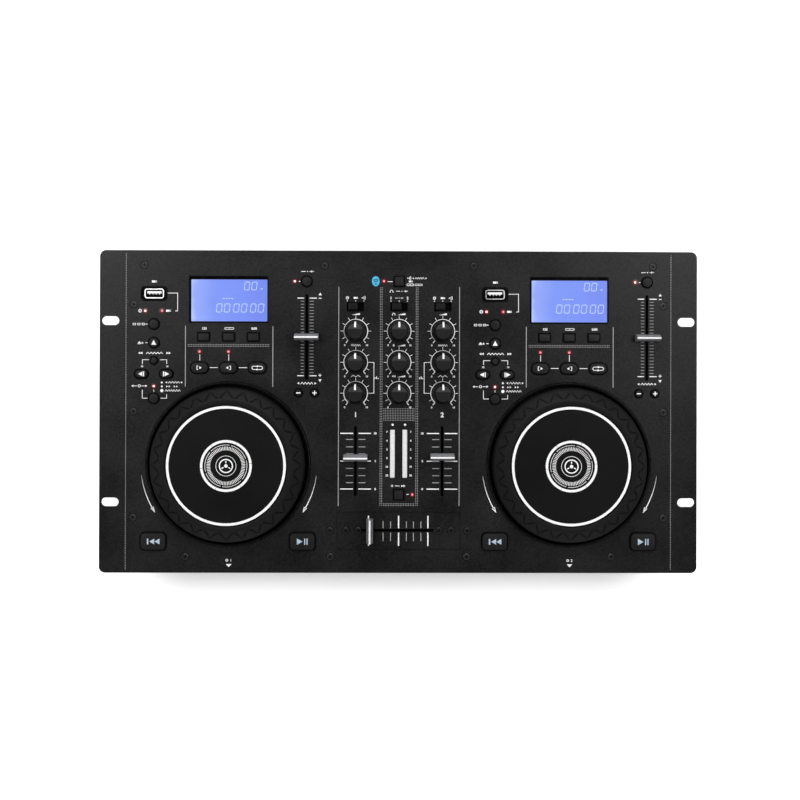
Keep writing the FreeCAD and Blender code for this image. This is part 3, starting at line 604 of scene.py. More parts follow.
mixerPrint = {
    "grey": {},
    "white": {0.5: (((-9.4, 105.2), (-5.4, 105.2)), ((6.2, -66.6), (8.0, -66.6)))},
    "dots": (),
    "wedges": (),
    "labels": (),
    "signs": (("headphones", -6.2, 97.5, 2.3), ("balance", 2.2, 97.5, 2.1), ("sender", 8.4, 108.0, 2.3),
              ("bend", 16.4, 108.0, 1.7), ("plug", 9.2, 105.4, 2.1), ("link", 8.8, 102.7, 2.1),
              ("repeat", 15.6, 102.7, 1.7), ("bands", -17.9, 27.6, 2.0), ("bands", 18.1, 27.6, 2.0),
              ("start", 0.4, -59.8, 2.2)),
    "sideBars": (48.8, -76.0, 101.0, 0.55),
    "bracket": ((22.6, 39.9), (20.3, 39.9), (20.3, 15.1), (22.6, 15.1)),    # ties a channel's tone knobs
    "bracketWidth": 0.42,
    "channel": (35.0, -2.3, 3.9),       # place and height of its number
    "thickLines": ((-17.4, -39.8, -62.3), ((22.5, 32.6), (36.9, 47.3)), 0.8),      # heights, spans, width
    "thinLines": ((-22.3, -28.3, -34.0, -45.7, -51.5, -57.2), ((27.0, 32.6), (36.9, 42.7)), 0.6),
    "faderNumbers": (("10", "5", "0"), 19.0, 1.7),
    "meterNumbers": (("7", "4", "2", "0", "10", "20"), 9.6, 1.5),
    "meterRows": (-16.2, -23.2, -30.3, -37.3, -44.3, -51.3),
    "meterDot": (5.0, -10.4, 0.9),
    "knobX": (-35.0, 0.0, 35.3),
    "knobY": (65.2, 40.0, 15.0),
    "knobSigns": ("ramp", "quick", "slow"),
    "middleSigns": ("headphones", "microphone", "speaker"),
    "signRise": 13.8,
    "signPlaces": ((0.0, 1.8), (-4.4, 2.1), (1.8, 1.8)),       # beside a knob's middle, height
    "arcRadius": 9.6,
    "arcWidth": (0.24, 0.8),
    "arcSteps": 56,
    "ticks": (9.9, 12.4, 0.36, 0.65),       # from, to, width, width at the ends
    "sweep": 140.0,
    "tickStep": 30.0,
    "knobNumbers": (("0", -8.9), ("10", 9.1)),
    "knobNumber": (-11.4, 1.5),     # place and height
    "switchX": (-35.2, 0.0, 35.2),
    "switchSigns": ("disc", "plug", "sender"),
    "switchY": (89.5, 92.0),        # of the dots and of the signs
    "switchPitch": 6.7,
    "switchDot": 0.4,
    "switchHeights": (2.3, 2.1, 1.5),       # of signs, numbers and the middle sign
    "crossLong": ((-24.3, 0.0, 23.7), -83.8, -108.2, 1.0),      # places, ends, width
    "crossShort": ((-12.5, -6.5, 6.3, 12.0, 18.0), -88.4, -104.3, 0.6),
    "cross": (-95.7, 1.8),          # middle of the crossfader's slot, and the gap that the ticks keep
}


def printMarks(white, grey, marks, cx=0.0):
    for target, colour in ((grey, "grey"), (white, "white")):
        for width, paths in marks[colour].items():
            for path in paths:
                ribbon(target, shifted(path, cx), width)
    for x, y, r in marks["dots"]:
        prism(white, circle(cx + x, y, r, 16))
    for points in marks["wedges"]:
        prism(white, shifted(points, cx))
    for text, x, y, height in marks["labels"]:
        digits(white, text, cx + x, y, height)
    for name, x, y, height in marks["signs"]:
        addSign(white, signs[name], cx + x, y, height)


def printDeck(white, grey, cx, number):
    m = deckPrint
    printMarks(white, grey, m, cx)
    x, y, height = m["number"]
    digits(white, number, cx + x, y, height)
    top, bottom, steps = m["scale"]
    for i in range(steps + 1):
        y = top + (bottom - top) * i / steps
        end = i in (0, steps)
        left, right, wide = m["endTick" if end else "tick"]
        for x0, x1 in ((-left, -m["tickInner"]), (m["tickInner"], right)):
            ribbon(white if end else grey, [(cx + m["faderX"] + x, y) for x in (x0, x1)], wide)
    # tapered arrows that follow the wheel on both sides
    radius, first, last = m["sweep"]
    start, end = m["sweepWidth"]
    ahead, back, half = m["sweepHead"]
    for side in (-1, 1):
        path = arc(cx + m["sweepX"], jogY, radius, side * first, side * last, 16)
        ribbon(white, path, [start + (end - start) * i / 16 for i in range(17)])
        tip, before = Vector(path[-1]), Vector(path[-3])
        along = (tip - before).normalized()
        across = Vector((-along.y, along.x)) * half
        head = [tip + along * ahead, tip + across - along * back, tip - across - along * back]
        prism(white, [(p.x, p.y) for p in head])


def printKnobScale(white, cx, cy, bothEnds):
    # the arc swells towards its end, or towards both ends round the tone knobs
    m = mixerPrint
    sweep, steps = m["sweep"], m["arcSteps"]
    thin, thick = m["arcWidth"]
    share = [i / steps for i in range(steps + 1)]
    if bothEnds:
        share = [abs(2 * t - 1) for t in share]
    widths = [thin + (thick - thin) * t ** 1.5 for t in share]
    ribbon(white, arc(cx, cy, m["arcRadius"], -sweep, sweep, steps), widths)
    start, end, fine, bold = m["ticks"]
    for angle in [i * m["tickStep"] for i in range(-4, 5)] + [-sweep, sweep]:
        a = math.radians(angle)
        ribbon(white, [(cx + r * math.sin(a), cy + r * math.cos(a)) for r in (start, end)],
               bold if abs(angle) == sweep else fine)
    y, height = m["knobNumber"]
    for text, x in m["knobNumbers"]:
        digits(white, text, cx + x, cy + y, height)


def printMixer(white, grey):
    m = mixerPrint
    printMarks(white, grey, m)
    barX, barFoot, barTop, barWidth = m["sideBars"]
    for side in (-1, 1):
        ribbon(grey, [(side * barX, barFoot), (side * barX, barTop)], barWidth)
        ribbon(white, [(side * x, y) for x, y in m["bracket"]], m["bracketWidth"])
        x, y, height = m["channel"]
        digits(white, "1" if side < 0 else "2", side * x, y, height)
        for target, (rows, spans, width) in ((white, m["thickLines"]), (grey, m["thinLines"])):
            for y in rows:
                for x0, x1 in spans:
                    ribbon(target, [(side * x0, y), (side * x1, y)], width)
        for rows, (texts, x, height) in ((m["thickLines"][0], m["faderNumbers"]),
                                         (m["meterRows"], m["meterNumbers"])):
            for y, text in zip(rows, texts):
                digits(white, text, side * x, y, height)
        x, y, radius = m["meterDot"]
        prism(white, circle(side * x, y, radius, 16))
    for column, cx in enumerate(m["knobX"]):
        for row, cy in enumerate(m["knobY"]):
            printKnobScale(white, cx, cy, column != 1 and row)
            names = (None, m["middleSigns"][row], "ramp") if column == 1 else (m["knobSigns"][row],)
            for name, (x, height) in zip(names, m["signPlaces"]):
                if name:
                    addSign(white, signs[name], cx + x, cy + m["signRise"], height)
    dotY, signY = m["switchY"]
    tall, middling, small = m["switchHeights"]
    for cx in m["switchX"]:
        for i in (-1, 0, 1):
            x = cx + i * m["switchPitch"]
            prism(white, circle(x, dotY, m["switchDot"], 12))
            if cx:
                addSign(white, signs[m["switchSigns"][i + 1]], x, signY, tall)
            elif i:
                digits(white, "1" if i < 0 else "2", x, signY, middling)
            else:
                addSign(white, signs["balance"], x, signY, small)
    cy, gap = m["cross"]
    for target, (places, rear, front, width) in ((white, m["crossLong"]), (grey, m["crossShort"])):
        for x in places:
            for y0, y1 in ((rear, cy + gap), (cy - gap, front)):
                ribbon(target, [(x, y0), (x, y1)], width)


# blue badge with a plain broadcast sign: a dot and two arcs
badge = {"x": -19.0, "y": 105.5, "w": 3.1, "d": 4.1, "dot": 0.7, "arcs": (2.0, 3.5), "arcHalf": 36,
         "arcWidth": 0.85, "signY": 103.3, "rise": 0.04}


def makePrint():
    white, grey = bmesh.new(), bmesh.new()
    for side, number in zip(sides, "12"):
        printDeck(white, grey, deckX[side], number)
    printMixer(white, grey)
    makePiece("panelPrint", white, "screenInkWhite", "chassis", merge=0)
    makePiece("panelPrintGrey", grey, "screenInkGrey", "chassis", merge=0)
    x, y = badge["x"], badge["signY"]
    bm = bmesh.new()
    prism(bm, [(x + badge["w"] * px, badge["y"] + badge["d"] * py) for px, py in circle(0, 0, 1, 40)])
    makePiece("wirelessBadge", bm, "badgeInkBlue", "chassis")
    z = (inkZ[1], inkZ[1] + badge["rise"])
    bm = bmesh.new()
    prism(bm, circle(x, y, badge["dot"], 16), z)
    for radius in badge["arcs"]:
        ribbon(bm, arc(x, y, radius, -badge["arcHalf"], badge["arcHalf"], 14), badge["arcWidth"], z)
    makePiece("wirelessSign", bm, "signInkNavy", "chassis")
    print("panel print done")


# lattices of small printed squares
lattice = {"dot": 0.6, "pitch": 1.35, "stripX": 14.45, "stripTop": 100.4, "stripBottom": -75.6,
           "bandTop": 2.6, "bandBottom": -6.85, "deckRow": 53.3, "deckReach": 32.4,
           "edgeX": 220.1, "edgeY": 127.0}


def makeLattices():
    bm = bmesh.new()
    bar(bm, 0, 0, lattice["dot"], lattice["dot"])
    dot, pitch = pattern(bm), lattice["pitch"]
    top, bottom = lattice["stripTop"], lattice["stripBottom"]
    inner = 2 * (lattice["stripX"] - 1.5 * pitch)
    bandTop, bandBottom = lattice["bandTop"], lattice["bandBottom"]
    fields = []
    for side, sign in zip(sides, (-1, 1)):
        fields += [(f"lattice{side.title()}", sign * lattice["stripX"], (top + bottom) / 2, pitch,
                    top - bottom),
                   (f"edgeDots{side.title()}", sign * lattice["edgeX"], 0, 0, 2 * lattice["edgeY"])]
    fields += [("latticeBand", 0, (bandTop + bandBottom) / 2, inner, bandTop - bandBottom),
               ("latticeFoot", 0, bottom + pitch / 2, inner, pitch)]
    fields += [(f"{side}DotRow", deckX[side], lattice["deckRow"], 2 * lattice["deckReach"], pitch)
               for side in sides]
    for name, x, y, w, d in fields:
        columns, rows = round(w / pitch) + 1, round(d / pitch) + 1
        made = repeated(name, "grid", dot, "screenInkGrey", {
            "Columns": columns, "Rows": rows, "Width": (columns - 1) * pitch * mm,
            "Depth": (rows - 1) * pitch * mm, "Centre": (x * mm, y * mm, 0.0)})
        assign(made, "screenInkGrey", "chassis")
    bpy.data.objects.remove(dot)
    print("lattices done")


# dark rings of painted shade that stand in the panel's cut-outs and frame the keys, where the gaps fall dark
gapShade = {"width": 0.32, "rise": 0.12, "foot": 0.02,
            "corners": {"cue": 4.0, "play": 4.0, "pairing": 0.5, "start": 0.5}}
# cut-outs of what isn't a single key: place from the deck's centre line, sides, corner, width of the ring
deckCuts = [(-70.0, 30.2, 12.0, 8.0, 4.0, 0.32), (-50.0, 30.2, 12.0, 8.0, 4.0, 0.32),
            (56.45, 15.2, 7.4, 7.4, 3.7, 0.32), (69.55, 15.2, 7.4, 7.4, 3.7, 0.32),
            (-60.0, 95.0, 20.0, 10.5, 2.0, 0.8)]
deckCuts += [(x, 60.2, 10.3, 7.4, 0.5, 0.35) for x in (-20.0, 0.0, 20.0)]
switchCuts = [(x, 85.0, 13.6, 7.0, 0.3, 0.3) for x in (-35.4, 0.0, 35.4)]


def makeKeyGapShade():
    cuts = list(switchCuts)
    for side in sides:
        cuts += [(deckX[side] + row[0], *row[1:]) for row in deckCuts]
    trim = 2 * keyCap["flange"]
    for node in frame["bodies"]:
        if node.endswith("_key"):
            x, y, w, d, *_ = spanOf(node)
            corner = gapShade["corners"].get(node.split("_")[-2], min(w - trim, d - trim) / 2)
            cuts.append((x, y, w - trim, d - trim, corner, gapShade["width"]))
    bm = bmesh.new()
    for x, y, w, d, corner, width in cuts:
        # flat ring of painted shade just outside an opening, with a fall to its outer edge
        inner, middle, outer = (roundedOutline(x, y, w + grow * width, d + grow * width,
                                               corner + grow * width / 2)
                                for grow in (0, 1, 2))
        stack(bm, [(inner, zTop), (inner, zTop + gapShade["rise"]), (middle, zTop + gapShade["rise"]),
                   (outer, zTop + gapShade["foot"]), (outer, zTop)], "joined")
    makePiece("keySurrounds", bm, "jetAbsAndPaintedShade", "chassis")
    print("gapShades done")


# jog wheel: rubber rim with an embossed zigzag tread, and a plate with printed rings on top
wheel = {
    "plateRadius": 48.4,
    "bandInner": 48.8,
    "bandOuter": 52.2,
    "treadInner": 53.4,
    "treadOuter": 60.0,
    "slope": (0.55, 5.2),       # how far the slope's inner and outer edge lie below the top
    "pinRadius": 4.05,
    "steps": 144,
    "chevrons": 28,
    "ribWidth": 1.5,
    "ribHeight": 0.24,
    "ribTaper": 0.86,
    "rings": ((46.6, 2.0, 144), (8.0, 0.35, 64), (5.2, 0.9, 48)),      # radius, width, steps
    "arcs": ((19.6, 2.0, 24.0, 0.4), (16.7, 0.35, 12.0, 2.5)),      # and turn, half gap in degrees
    "arcCount": 6,
    "hub": 1.4,
    "spokes": (2.2, 4.0, 0.8),  # from, to, width
    "ticks": 72,
    "tick": (12.5, 15.4, 0.5),  # from, to, width
    "collarEdge": ((66.1, 0.5), (66.1, 0.72), (66.0, 0.8), (65.65, 0.8), (65.55, 0.72), (65.55, 0.5)),
}


def makeJogWheels():
    w, steps = wheel, wheel["steps"]
    *_, width, _, foot, top = spanOf("left_jog_wheel")
    rim, pin = width / 2, w["pinRadius"]
    inner, outer = w["treadInner"], w["treadOuter"]
    slopeTop, slopeFoot = (top - fall for fall in w["slope"])

    def slopeZ(r):
        return slopeTop + (slopeFoot - slopeTop) * (r - inner) / (outer - inner)

    bm = bmesh.new()
    lathe(bm, 0, 0, [
        (pin, zTop + 9.25), (pin, foot), (rim - 0.8, foot), (rim, foot + 0.8), (rim, top - 8.2),
        (rim - 0.15, top - 7.5), (rim - 0.6, top - 6.7), (outer + 0.6, top - 5.8), (outer, slopeFoot),
        (inner, slopeTop), (inner - 0.5, top - 0.22), (inner - 1.1, top - 0.03), (w["bandOuter"] - 0.3, top),
        (w["bandInner"] + 0.35, top), (w["bandInner"] + 0.1, top - 0.1), (w["bandInner"], top - 0.35),
        (w["bandInner"], top - 1.2), (pin, top - 1.2), (pin, zTop + 9.25)], steps)
    bmesh.ops.remove_doubles(bm, verts=bm.verts, dist=0.001)
    rimPattern = pattern(bm)

    # one chevron lies on the slope: two ribs that meet at the outer edge
    bm = bmesh.new()
    half = math.pi / w["chevrons"]
    for side in (-1, 1):
        base, heights = [], []
        for r, a, turns in ((outer - 0.1, 0.0, (-1, 1)), (inner + 0.6, side * half * w["ribTaper"], (1, -1))):
            for turn in turns:
                across = a + turn * w["ribWidth"] / 2 / r
                base.append(Vector((r * math.cos(across), r * math.sin(across))))
                heights.append(slopeZ(r))
        centre = sum(base, Vector((0, 0))) / 4
        narrow = [centre + (corner - centre) * w["ribTaper"] for corner in base]
        stack(bm, [(base, [z - 0.3 for z in heights]), (base, [z + w["ribHeight"] * 0.5 for z in heights]),
                   (narrow, [z + w["ribHeight"] for z in heights])])
    chevron = pattern(bm)

    bm = bmesh.new()
    plate = w["plateRadius"]
    lathe(bm, 0, 0, [(0, top - 1.2), (plate, top - 1.2), (plate, top - 0.4), (plate - 0.25, top - 0.2),
                     (0, top - 0.2)], steps)
    platePattern = pattern(bm)

    # broken rings, and a plain disc sign in the middle: a ring, a dot and three short spokes
    ink = (top - 0.2, top - 0.2 + inkThick)
    bm = bmesh.new()
    share = 360 / w["arcCount"]
    for radius, width, count in w["rings"]:
        ribbon(bm, circle(0, 0, radius, count), width, ink, True)
    for radius, width, turn, gap in w["arcs"]:
        for i in range(w["arcCount"]):
            start = share * i + turn
            ribbon(bm, arc(0, 0, radius, start + gap, start + share - gap, 20), width, ink)
    prism(bm, circle(0, 0, w["hub"], 24), ink)
    start, end, width = w["spokes"]
    for i in range(3):
        a = 2 * math.pi * i / 3 + math.pi / 2
        ribbon(bm, [(r * math.cos(a), r * math.sin(a)) for r in (start, end)], width, ink)
    printPattern = pattern(bm)
    bm = bmesh.new()
    start, end, width = w["tick"]
    ribbon(bm, [(start, 0), (end, 0)], width, ink)
    tick = pattern(bm)

    tread = inRing("tread", chevron, "treadRubber", w["chevrons"])
    ticks = inRing("ticks", tick, "screenInkWhite", w["ticks"])
    for side in sides:
        body = f"{side}_jog_wheel"
        for label, piece, material, smooth in (
                ("JogRim", rimPattern, "softTouchRubber", True),
                ("JogTread", tread, "treadRubber", False),
                ("JogPlate", platePattern, "filmedDisc", True),
                ("JogRings", printPattern, "screenInkWhite", False),
                ("JogTicks", ticks, "screenInkWhite", False)):
            copy = moved(piece, f"{side}{label}", deckX[side], jogY)
            if smooth:
                smoothed(copy.data, 32)
            assign(copy, material, body, (body,) if label == "JogRim" else ())
    for piece in (rimPattern, chevron, tread, platePattern, printPattern, tick, ticks):
        bpy.data.objects.remove(piece)
    # pale ring on the crest of the collar round each wheel: a painted highlight
    bm = bmesh.new()
    for side in sides:
        rings = [(circle(deckX[side], jogY, radius, steps), zTop + z) for radius, z in w["collarEdge"]]
        stack(bm, rings, "joined")
    makePiece("collarEdges", bm, "collarCrestHighlight", "chassis")
    print("jog wheels done")


# keys: the cap's outline follows the solid's flange; legends are printed on the flat top
keyCap = {"flange": 1.3, "gap": 0.3, "round": 0.8, "slack": 0.5, "stem": 3.0, "stroke": 0.5,
          "plateDrop": (1.75, 0.25), "rockerDrop": (2.8, 1.2),      # foot and top below the panel
          "corners": {"cue": 3.75, "play": 3.75, "pairing": 0.7, "start": 0.7}}
deckKeys = ("select_key", "plus_ten_key", "jog_mode_key", "pitch_range_key", "eject_key", "loop_in_key",
            "loop_out_key", "reloop_key", "cue_key", "play_key", "track_rocker", "bend_rocker", "menu_keys")
mixerKeys = ("pairing_key", "fader_start_key")
rockers = {"track": (20.0, 11.1, 7.1), "bend": (13.1, 6.5, 6.5)}       # how far apart, sides
menuCaps = ((-20.0, 0.0, 20.0), 9.8, 6.9, 0.7)      # places, sides, corner
legends = {     # in millimetres about the middle of the cap
    "eject_key": (("fill", wedge(0, 0.3, 4.1, 3.8, 90)),),
    "loop_in_key": (("line", [(-0.9, 1.4), (-1.9, 1.4), (-1.9, -1.4), (-0.9, -1.4)]),
                    ("fill", wedge(1.0, 0, 2.2, 1.9, 0))),
    "loop_out_key": (("line", [(0.9, 1.4), (1.9, 1.4), (1.9, -1.4), (0.9, -1.4)]),
                     ("fill", wedge(-1.0, 0, 2.2, 1.9, 180))),
    "reloop_key": (("loop", roundedOutline(0, 0, 8.6, 2.6, 1.3, 4)), ("over", wedge(0.6, 1.3, 1.9, 1.7, 0)),
                   ("over", wedge(-0.6, -1.3, 1.9, 1.7, 180))),
    "cue_key": (("fill", wedge(-0.9, 0, 4.6, 4.0, 180)), ("fill", wedge(3.3, 0, 4.6, 4.0, 180)),
                ("fill", rect(-4.8, -2.3, -3.6, 2.3))),
    "play_key": (("fill", wedge(-2.0, 0, 5.2, 4.6, 0)), ("fill", rect(1.525, -2.5, 2.475, 2.5)),
                 ("fill", rect(3.425, -2.5, 4.375, 2.5))),
    "track_rocker": (("fill", wedge(-10.7, 0, 3.7, 3.5, 180)), ("fill", rect(-8.375, -2.0, -7.625, 2.0)),
                     ("fill", wedge(10.7, 0, 3.7, 3.5, 0)), ("fill", rect(7.625, -2.0, 8.375, 2.0))),
    "bend_rocker": (("fill", rect(-8.25, -0.4, -4.85, 0.4)), ("fill", rect(4.85, -0.4, 8.25, 0.4)),
                    ("fill", rect(6.15, -1.7, 6.95, -0.4)), ("fill", rect(6.15, 0.4, 6.95, 1.7))),
}


def addCap(bm, x, y, w, d, corner, base, top):
    # soft-edged cap with a flat top
    r = keyCap["round"]
    loops = [(roundedOutline(x, y, w, d, corner), base)]
    for i in range(5):
        a = math.pi / 2 * i / 4
        inset = r * (1 - math.cos(a))
        loops.append((roundedOutline(x, y, w - 2 * inset, d - 2 * inset, max(corner - inset, 0.1)),
                      top - r * (1 - math.sin(a))))
    stack(bm, loops)


def makeKeys():
    nodes = [f"{side}_{name}" for side in sides for name in deckKeys] + list(mixerKeys)
    for node in nodes:
        name = node.partition("_")[2] if node.startswith(sides) else node
        x, y, w, d, foot, top = spanOf(node)
        kind, label = name.split("_")[-2], "caps"
        plateFoot, plateTop = (zUnder - drop for drop in keyCap["plateDrop"])
        if name.endswith("_key"):
            trim = 2 * (keyCap["flange"] + keyCap["gap"])
            places, capW, capD, label = (0.0,), w - trim, d - trim, "cap"
            corner = keyCap["corners"].get(kind, min(capW, capD) / 2)
            w, d = w - keyCap["slack"], d - keyCap["slack"]
        elif name == "menu_keys":
            places, capW, capD, corner = menuCaps
        else:
            plateFoot, plateTop = (zUnder - drop for drop in keyCap["rockerDrop"])
            pitch, capW, capD = rockers[kind]
            places, corner = (-pitch / 2, pitch / 2), capD / 2
        bm = bmesh.new()
        bar(bm, x, y, w, d, (plateFoot, plateTop))
        for dx in places:
            addCap(bm, x + dx, y, capW, capD, corner, plateTop, top)
            bar(bm, x + dx, y, keyCap["stem"], keyCap["stem"], (foot, plateFoot))
        # the cap's sides and plate are darker than its top: painted shade
        makePiece(f"{node}_{label}", bm, "jetAbsAndPaintedShade", node, (node,),
                  topFinish="mouldedAbsBlack")
        if name in legends:
            bm = bmesh.new()
            addSign(bm, legends[name], x, y, 1.0, (top, top + inkThick), keyCap["stroke"])
            ink = "legendInkBlue" if name in ("cue_key", "play_key") else "screenInkWhite"
            makePiece(f"{node}_legend", bm, ink, node)
    print("keys done")


# rotary knob: black tapered body under a grey cap, half of which slopes away with the pointer on it; the
# body's black is partly its own colour and partly painted shade on its sides
knob = {"foot": 8.2, "top": 6.7, "lift": 0.6, "fall": 0.186, "round": 0.6, "steps": 72, "shaft": 3.0,
        "fold": 1.6, "capRadius": 6.35, "capThick": 0.4, "capEdge": 0.3, "pointerFrom": 3.1,
        "pointerWidth": 1.5}


def addPointer(bm, cx, cy, top):
    # inlaid from near the middle over the edge and down the side
    reach, half = knob["top"], knob["pointerWidth"] / 2
    path = [(knob["pointerFrom"], 0.0), (reach - 0.35, 0.0), (reach, -0.55), (reach + 0.3, -2.4),
            (reach + 0.75, -5.4)]
    rings = []
    for dy, dz in path:
        y, z = cy + dy, top + dz - knob["fall"] * max(0.0, dy - knob["fold"])
        rings.append([(cx - half, y + 0.06, z + 0.06), (cx + half, y + 0.06, z + 0.06),
                      (cx + half, y - 0.4, z - 0.35), (cx - half, y - 0.4, z - 0.35)])
    tube(bm, rings)


def makeKnobs():
    nodes = [name for name in frame["bodies"] if name.endswith("_knob")]
    fold, edge, r, rTop = knob["fold"], knob["capEdge"], knob["round"], knob["top"]
    for node in nodes:
        cx, cy, *_, low, top = spanOf(node)
        foot, seat = zTop + knob["lift"], top - knob["capThick"]

        def sloped(points, z):
            # the slope is taken from every ring, less towards the foot
            fall = knob["fall"] * (z - foot) / (top - foot)
            return points, [z - fall * max(0.0, y - cy - fold) for _, y in points]

        profile = [(knob["foot"] - 0.5, foot), (knob["foot"], foot + 0.5), (knob["foot"] - 0.1, foot + 2.0),
                   (rTop + 0.3, top - 3.0)]
        for i in range(4):
            a = math.pi / 2 * i / 3
            profile.append((rTop - r * (1 - math.cos(a)), seat - r * (1 - math.sin(a))))
        profile += [(radius, seat) for radius in (5.0, 2.5, 0.5)]
        bm = bmesh.new()
        stack(bm, [sloped(circle(cx, cy, radius, knob["steps"]), z) for radius, z in profile])
        prism(bm, circle(cx, cy, knob["shaft"], 24), (low, foot))
        makePiece(f"{node}_grip", bm, "jetAbsAndPaintedShade", node, (node,), angle=50)

        # the cap's two parts meet in a sharp fold behind the middle; the sloping one is painted paler, as a
        # highlight
        for part, material in (("cap", "mouldedAbsGrey"), ("slope", "knobSlopePaintedHighlight")):
            loops = []
            for radius, z in ((knob["capRadius"], seat - 0.2), (knob["capRadius"], top - edge),
                              (knob["capRadius"] - edge, top)):
                # angles from twelve o'clock to the ends of the fold
                half = 90 - math.degrees(math.asin(fold / radius))
                first, last = (half, -half) if part == "slope" else (360 - half, half)
                loops.append(sloped(arc(cx, cy, radius, first, last, 36), z))
            bm = bmesh.new()
            stack(bm, loops)
            makePiece(f"{node}_{part}", bm, material, node, angle=8)
        bm = bmesh.new()
        addPointer(bm, cx, cy, top)
        makePiece(f"{node}_pointer", bm, "screenInkWhite", node)
    print("knobs done:", len(nodes))


# fader cap: flanks that step up to a narrow crest with a white line
cap = {"shoulder": 4.4, "crest": 0.85, "steps": 3, "lift": 1.0, "blade": (1.2, 5.0),
       "tread": (0.28, 0.22),       # how far out and down a tread begins
       "line": (0.985, 1.2, 0.3, 0.03),     # share of the length, width, depth, rise
       "ends": ((-0.5, 0.94), (-0.48, 0.985), (-0.47, 1.0), (0.47, 1.0), (0.48, 0.985), (0.5, 0.94))}
slide = {"corner": 0.4, "rise": 0.35, "ribs": (-1.8, -0.6, 0.6, 1.8), "ribWidth": 0.5, "ribInset": 1.4,
         "ribDepth": 0.4}


def makeFader(node, alongX):
    cx, cy, w, d, low, top = spanOf(node)
    length, half = (d, w / 2) if alongX else (w, d / 2)
    foot = zTop + cap["lift"]
    shoulder = foot + cap["shoulder"]
    out, down = cap["tread"]
    flank = [(half, shoulder)]      # grip steps: each riser leans in, each tread falls outwards
    for i in range(1, cap["steps"] + 1):
        t = i / cap["steps"]
        v, z = half + (cap["crest"] - half) * t, shoulder + (top - shoulder) * t
        flank += [(v + out, z - down), (v, z)]
    section = [(-half + 0.2, foot), (half - 0.2, foot), (half, foot + 0.4)] + flank
    section += mirrored(flank) + [(-half, foot + 0.4)]
    body, line, blade = bmesh.new(), bmesh.new(), bmesh.new()
    tube(body, [[(length * u, v * shrink, z - (1 - shrink) * (z - foot)) for v, z in section]
                for u, shrink in cap["ends"]])
    share, width, depth, rise = cap["line"]
    bar(line, 0, 0, length * share, width, (top - depth, top + rise))
    bar(blade, 0, 0, *cap["blade"], (low, foot))
    for made, label, material in ((body, "cap", "satinSilverAbs"), (line, "line", "screenInkWhite"),
                                  (blade, "blade", "zincPlate")):
        turn = Matrix.Rotation(math.pi / 2 if alongX else 0.0, 4, "Z")
        bmesh.ops.transform(made, verts=made.verts, matrix=Matrix.Translation((cx, cy, 0)) @ turn)
        makePiece(f"{node}_{label}", made, material, node,
                  (node,) if label == "cap" else (), angle=25)


def makeFaders():
    for side in sides:
        makeFader(f"{side}_pitch_fader", False)
        makeFader(f"{side}_level_fader", False)
    makeFader("crossfader", True)
    for node in ("left_source_switch", "cue_select_switch", "right_source_switch"):
        cx, cy, w, d, low, top = spanOf(node)
        bm = bmesh.new()
        addCap(bm, cx, cy, w, d, slide["corner"], low, top - slide["rise"])
        for dx in slide["ribs"]:
            bar(bm, cx + dx, cy, slide["ribWidth"], d - slide["ribInset"], (top - slide["ribDepth"], top))
        makePiece(f"{node}_cap", bm, "slideCapGrey", node, (node,))
    print("faders and slide switches done")


# display: black frame, lit crystal, pale segments and a clear window sunk below the panel's face
screen = {"y": 90.5, "w": 63.4, "d": 37.4, "litW": 61.3, "litD": 33.8, "litX": 0.35, "litY": -0.85,
          "windowDrop": 1.0, "windowThick": 0.5, "gap": 0.4, "litThick": 0.3, "flange": (70.0, 44.0),
          "openingShade": (63.9, 37.9, 62.7, 36.7, 0.1),     # outer and inner sides, drop below the face
          "digit": (4.1, 6.6, 0.45, 0.12),     # width, height, stroke and slant
          "small": (11.9, 5.9, 8.6, 0.95),     # first, pitch, height of the place and size of the figures
          "large": (-10.6, 6.3, -9.4, 1.0), "pairGaps": (0, 0, 1.2, 1.2, 2.2, 2.2),
          "dashes": ((-4.6, 1.6, 1.6, 0.5), (-2.3, 1.6, 1.6, 0.5), (0.0, 1.6, 1.6, 0.5), (2.3, 1.6, 1.6, 0.5),
                     (26.1, 9.4, 1.6, 0.6))}


def addZero(bm, x, y, size, z):
    # seven-segment nought of slanted bars
    w, h, s = (size * measure for measure in screen["digit"][:3])
    slant, g = screen["digit"][3], s * 0.62
    for x0, y0, x1, y1 in ((g, h, w - g, h), (w, h - g, w, h / 2 + g), (w, h / 2 - g, w, g), (g, 0, w - g, 0),
                           (0, h / 2 - g, 0, g), (0, h - g, 0, h / 2 + g)):
        ribbon(bm, [(x + px + slant * py, y + py) for px, py in ((x0, y0), (x1, y1))], s, z)


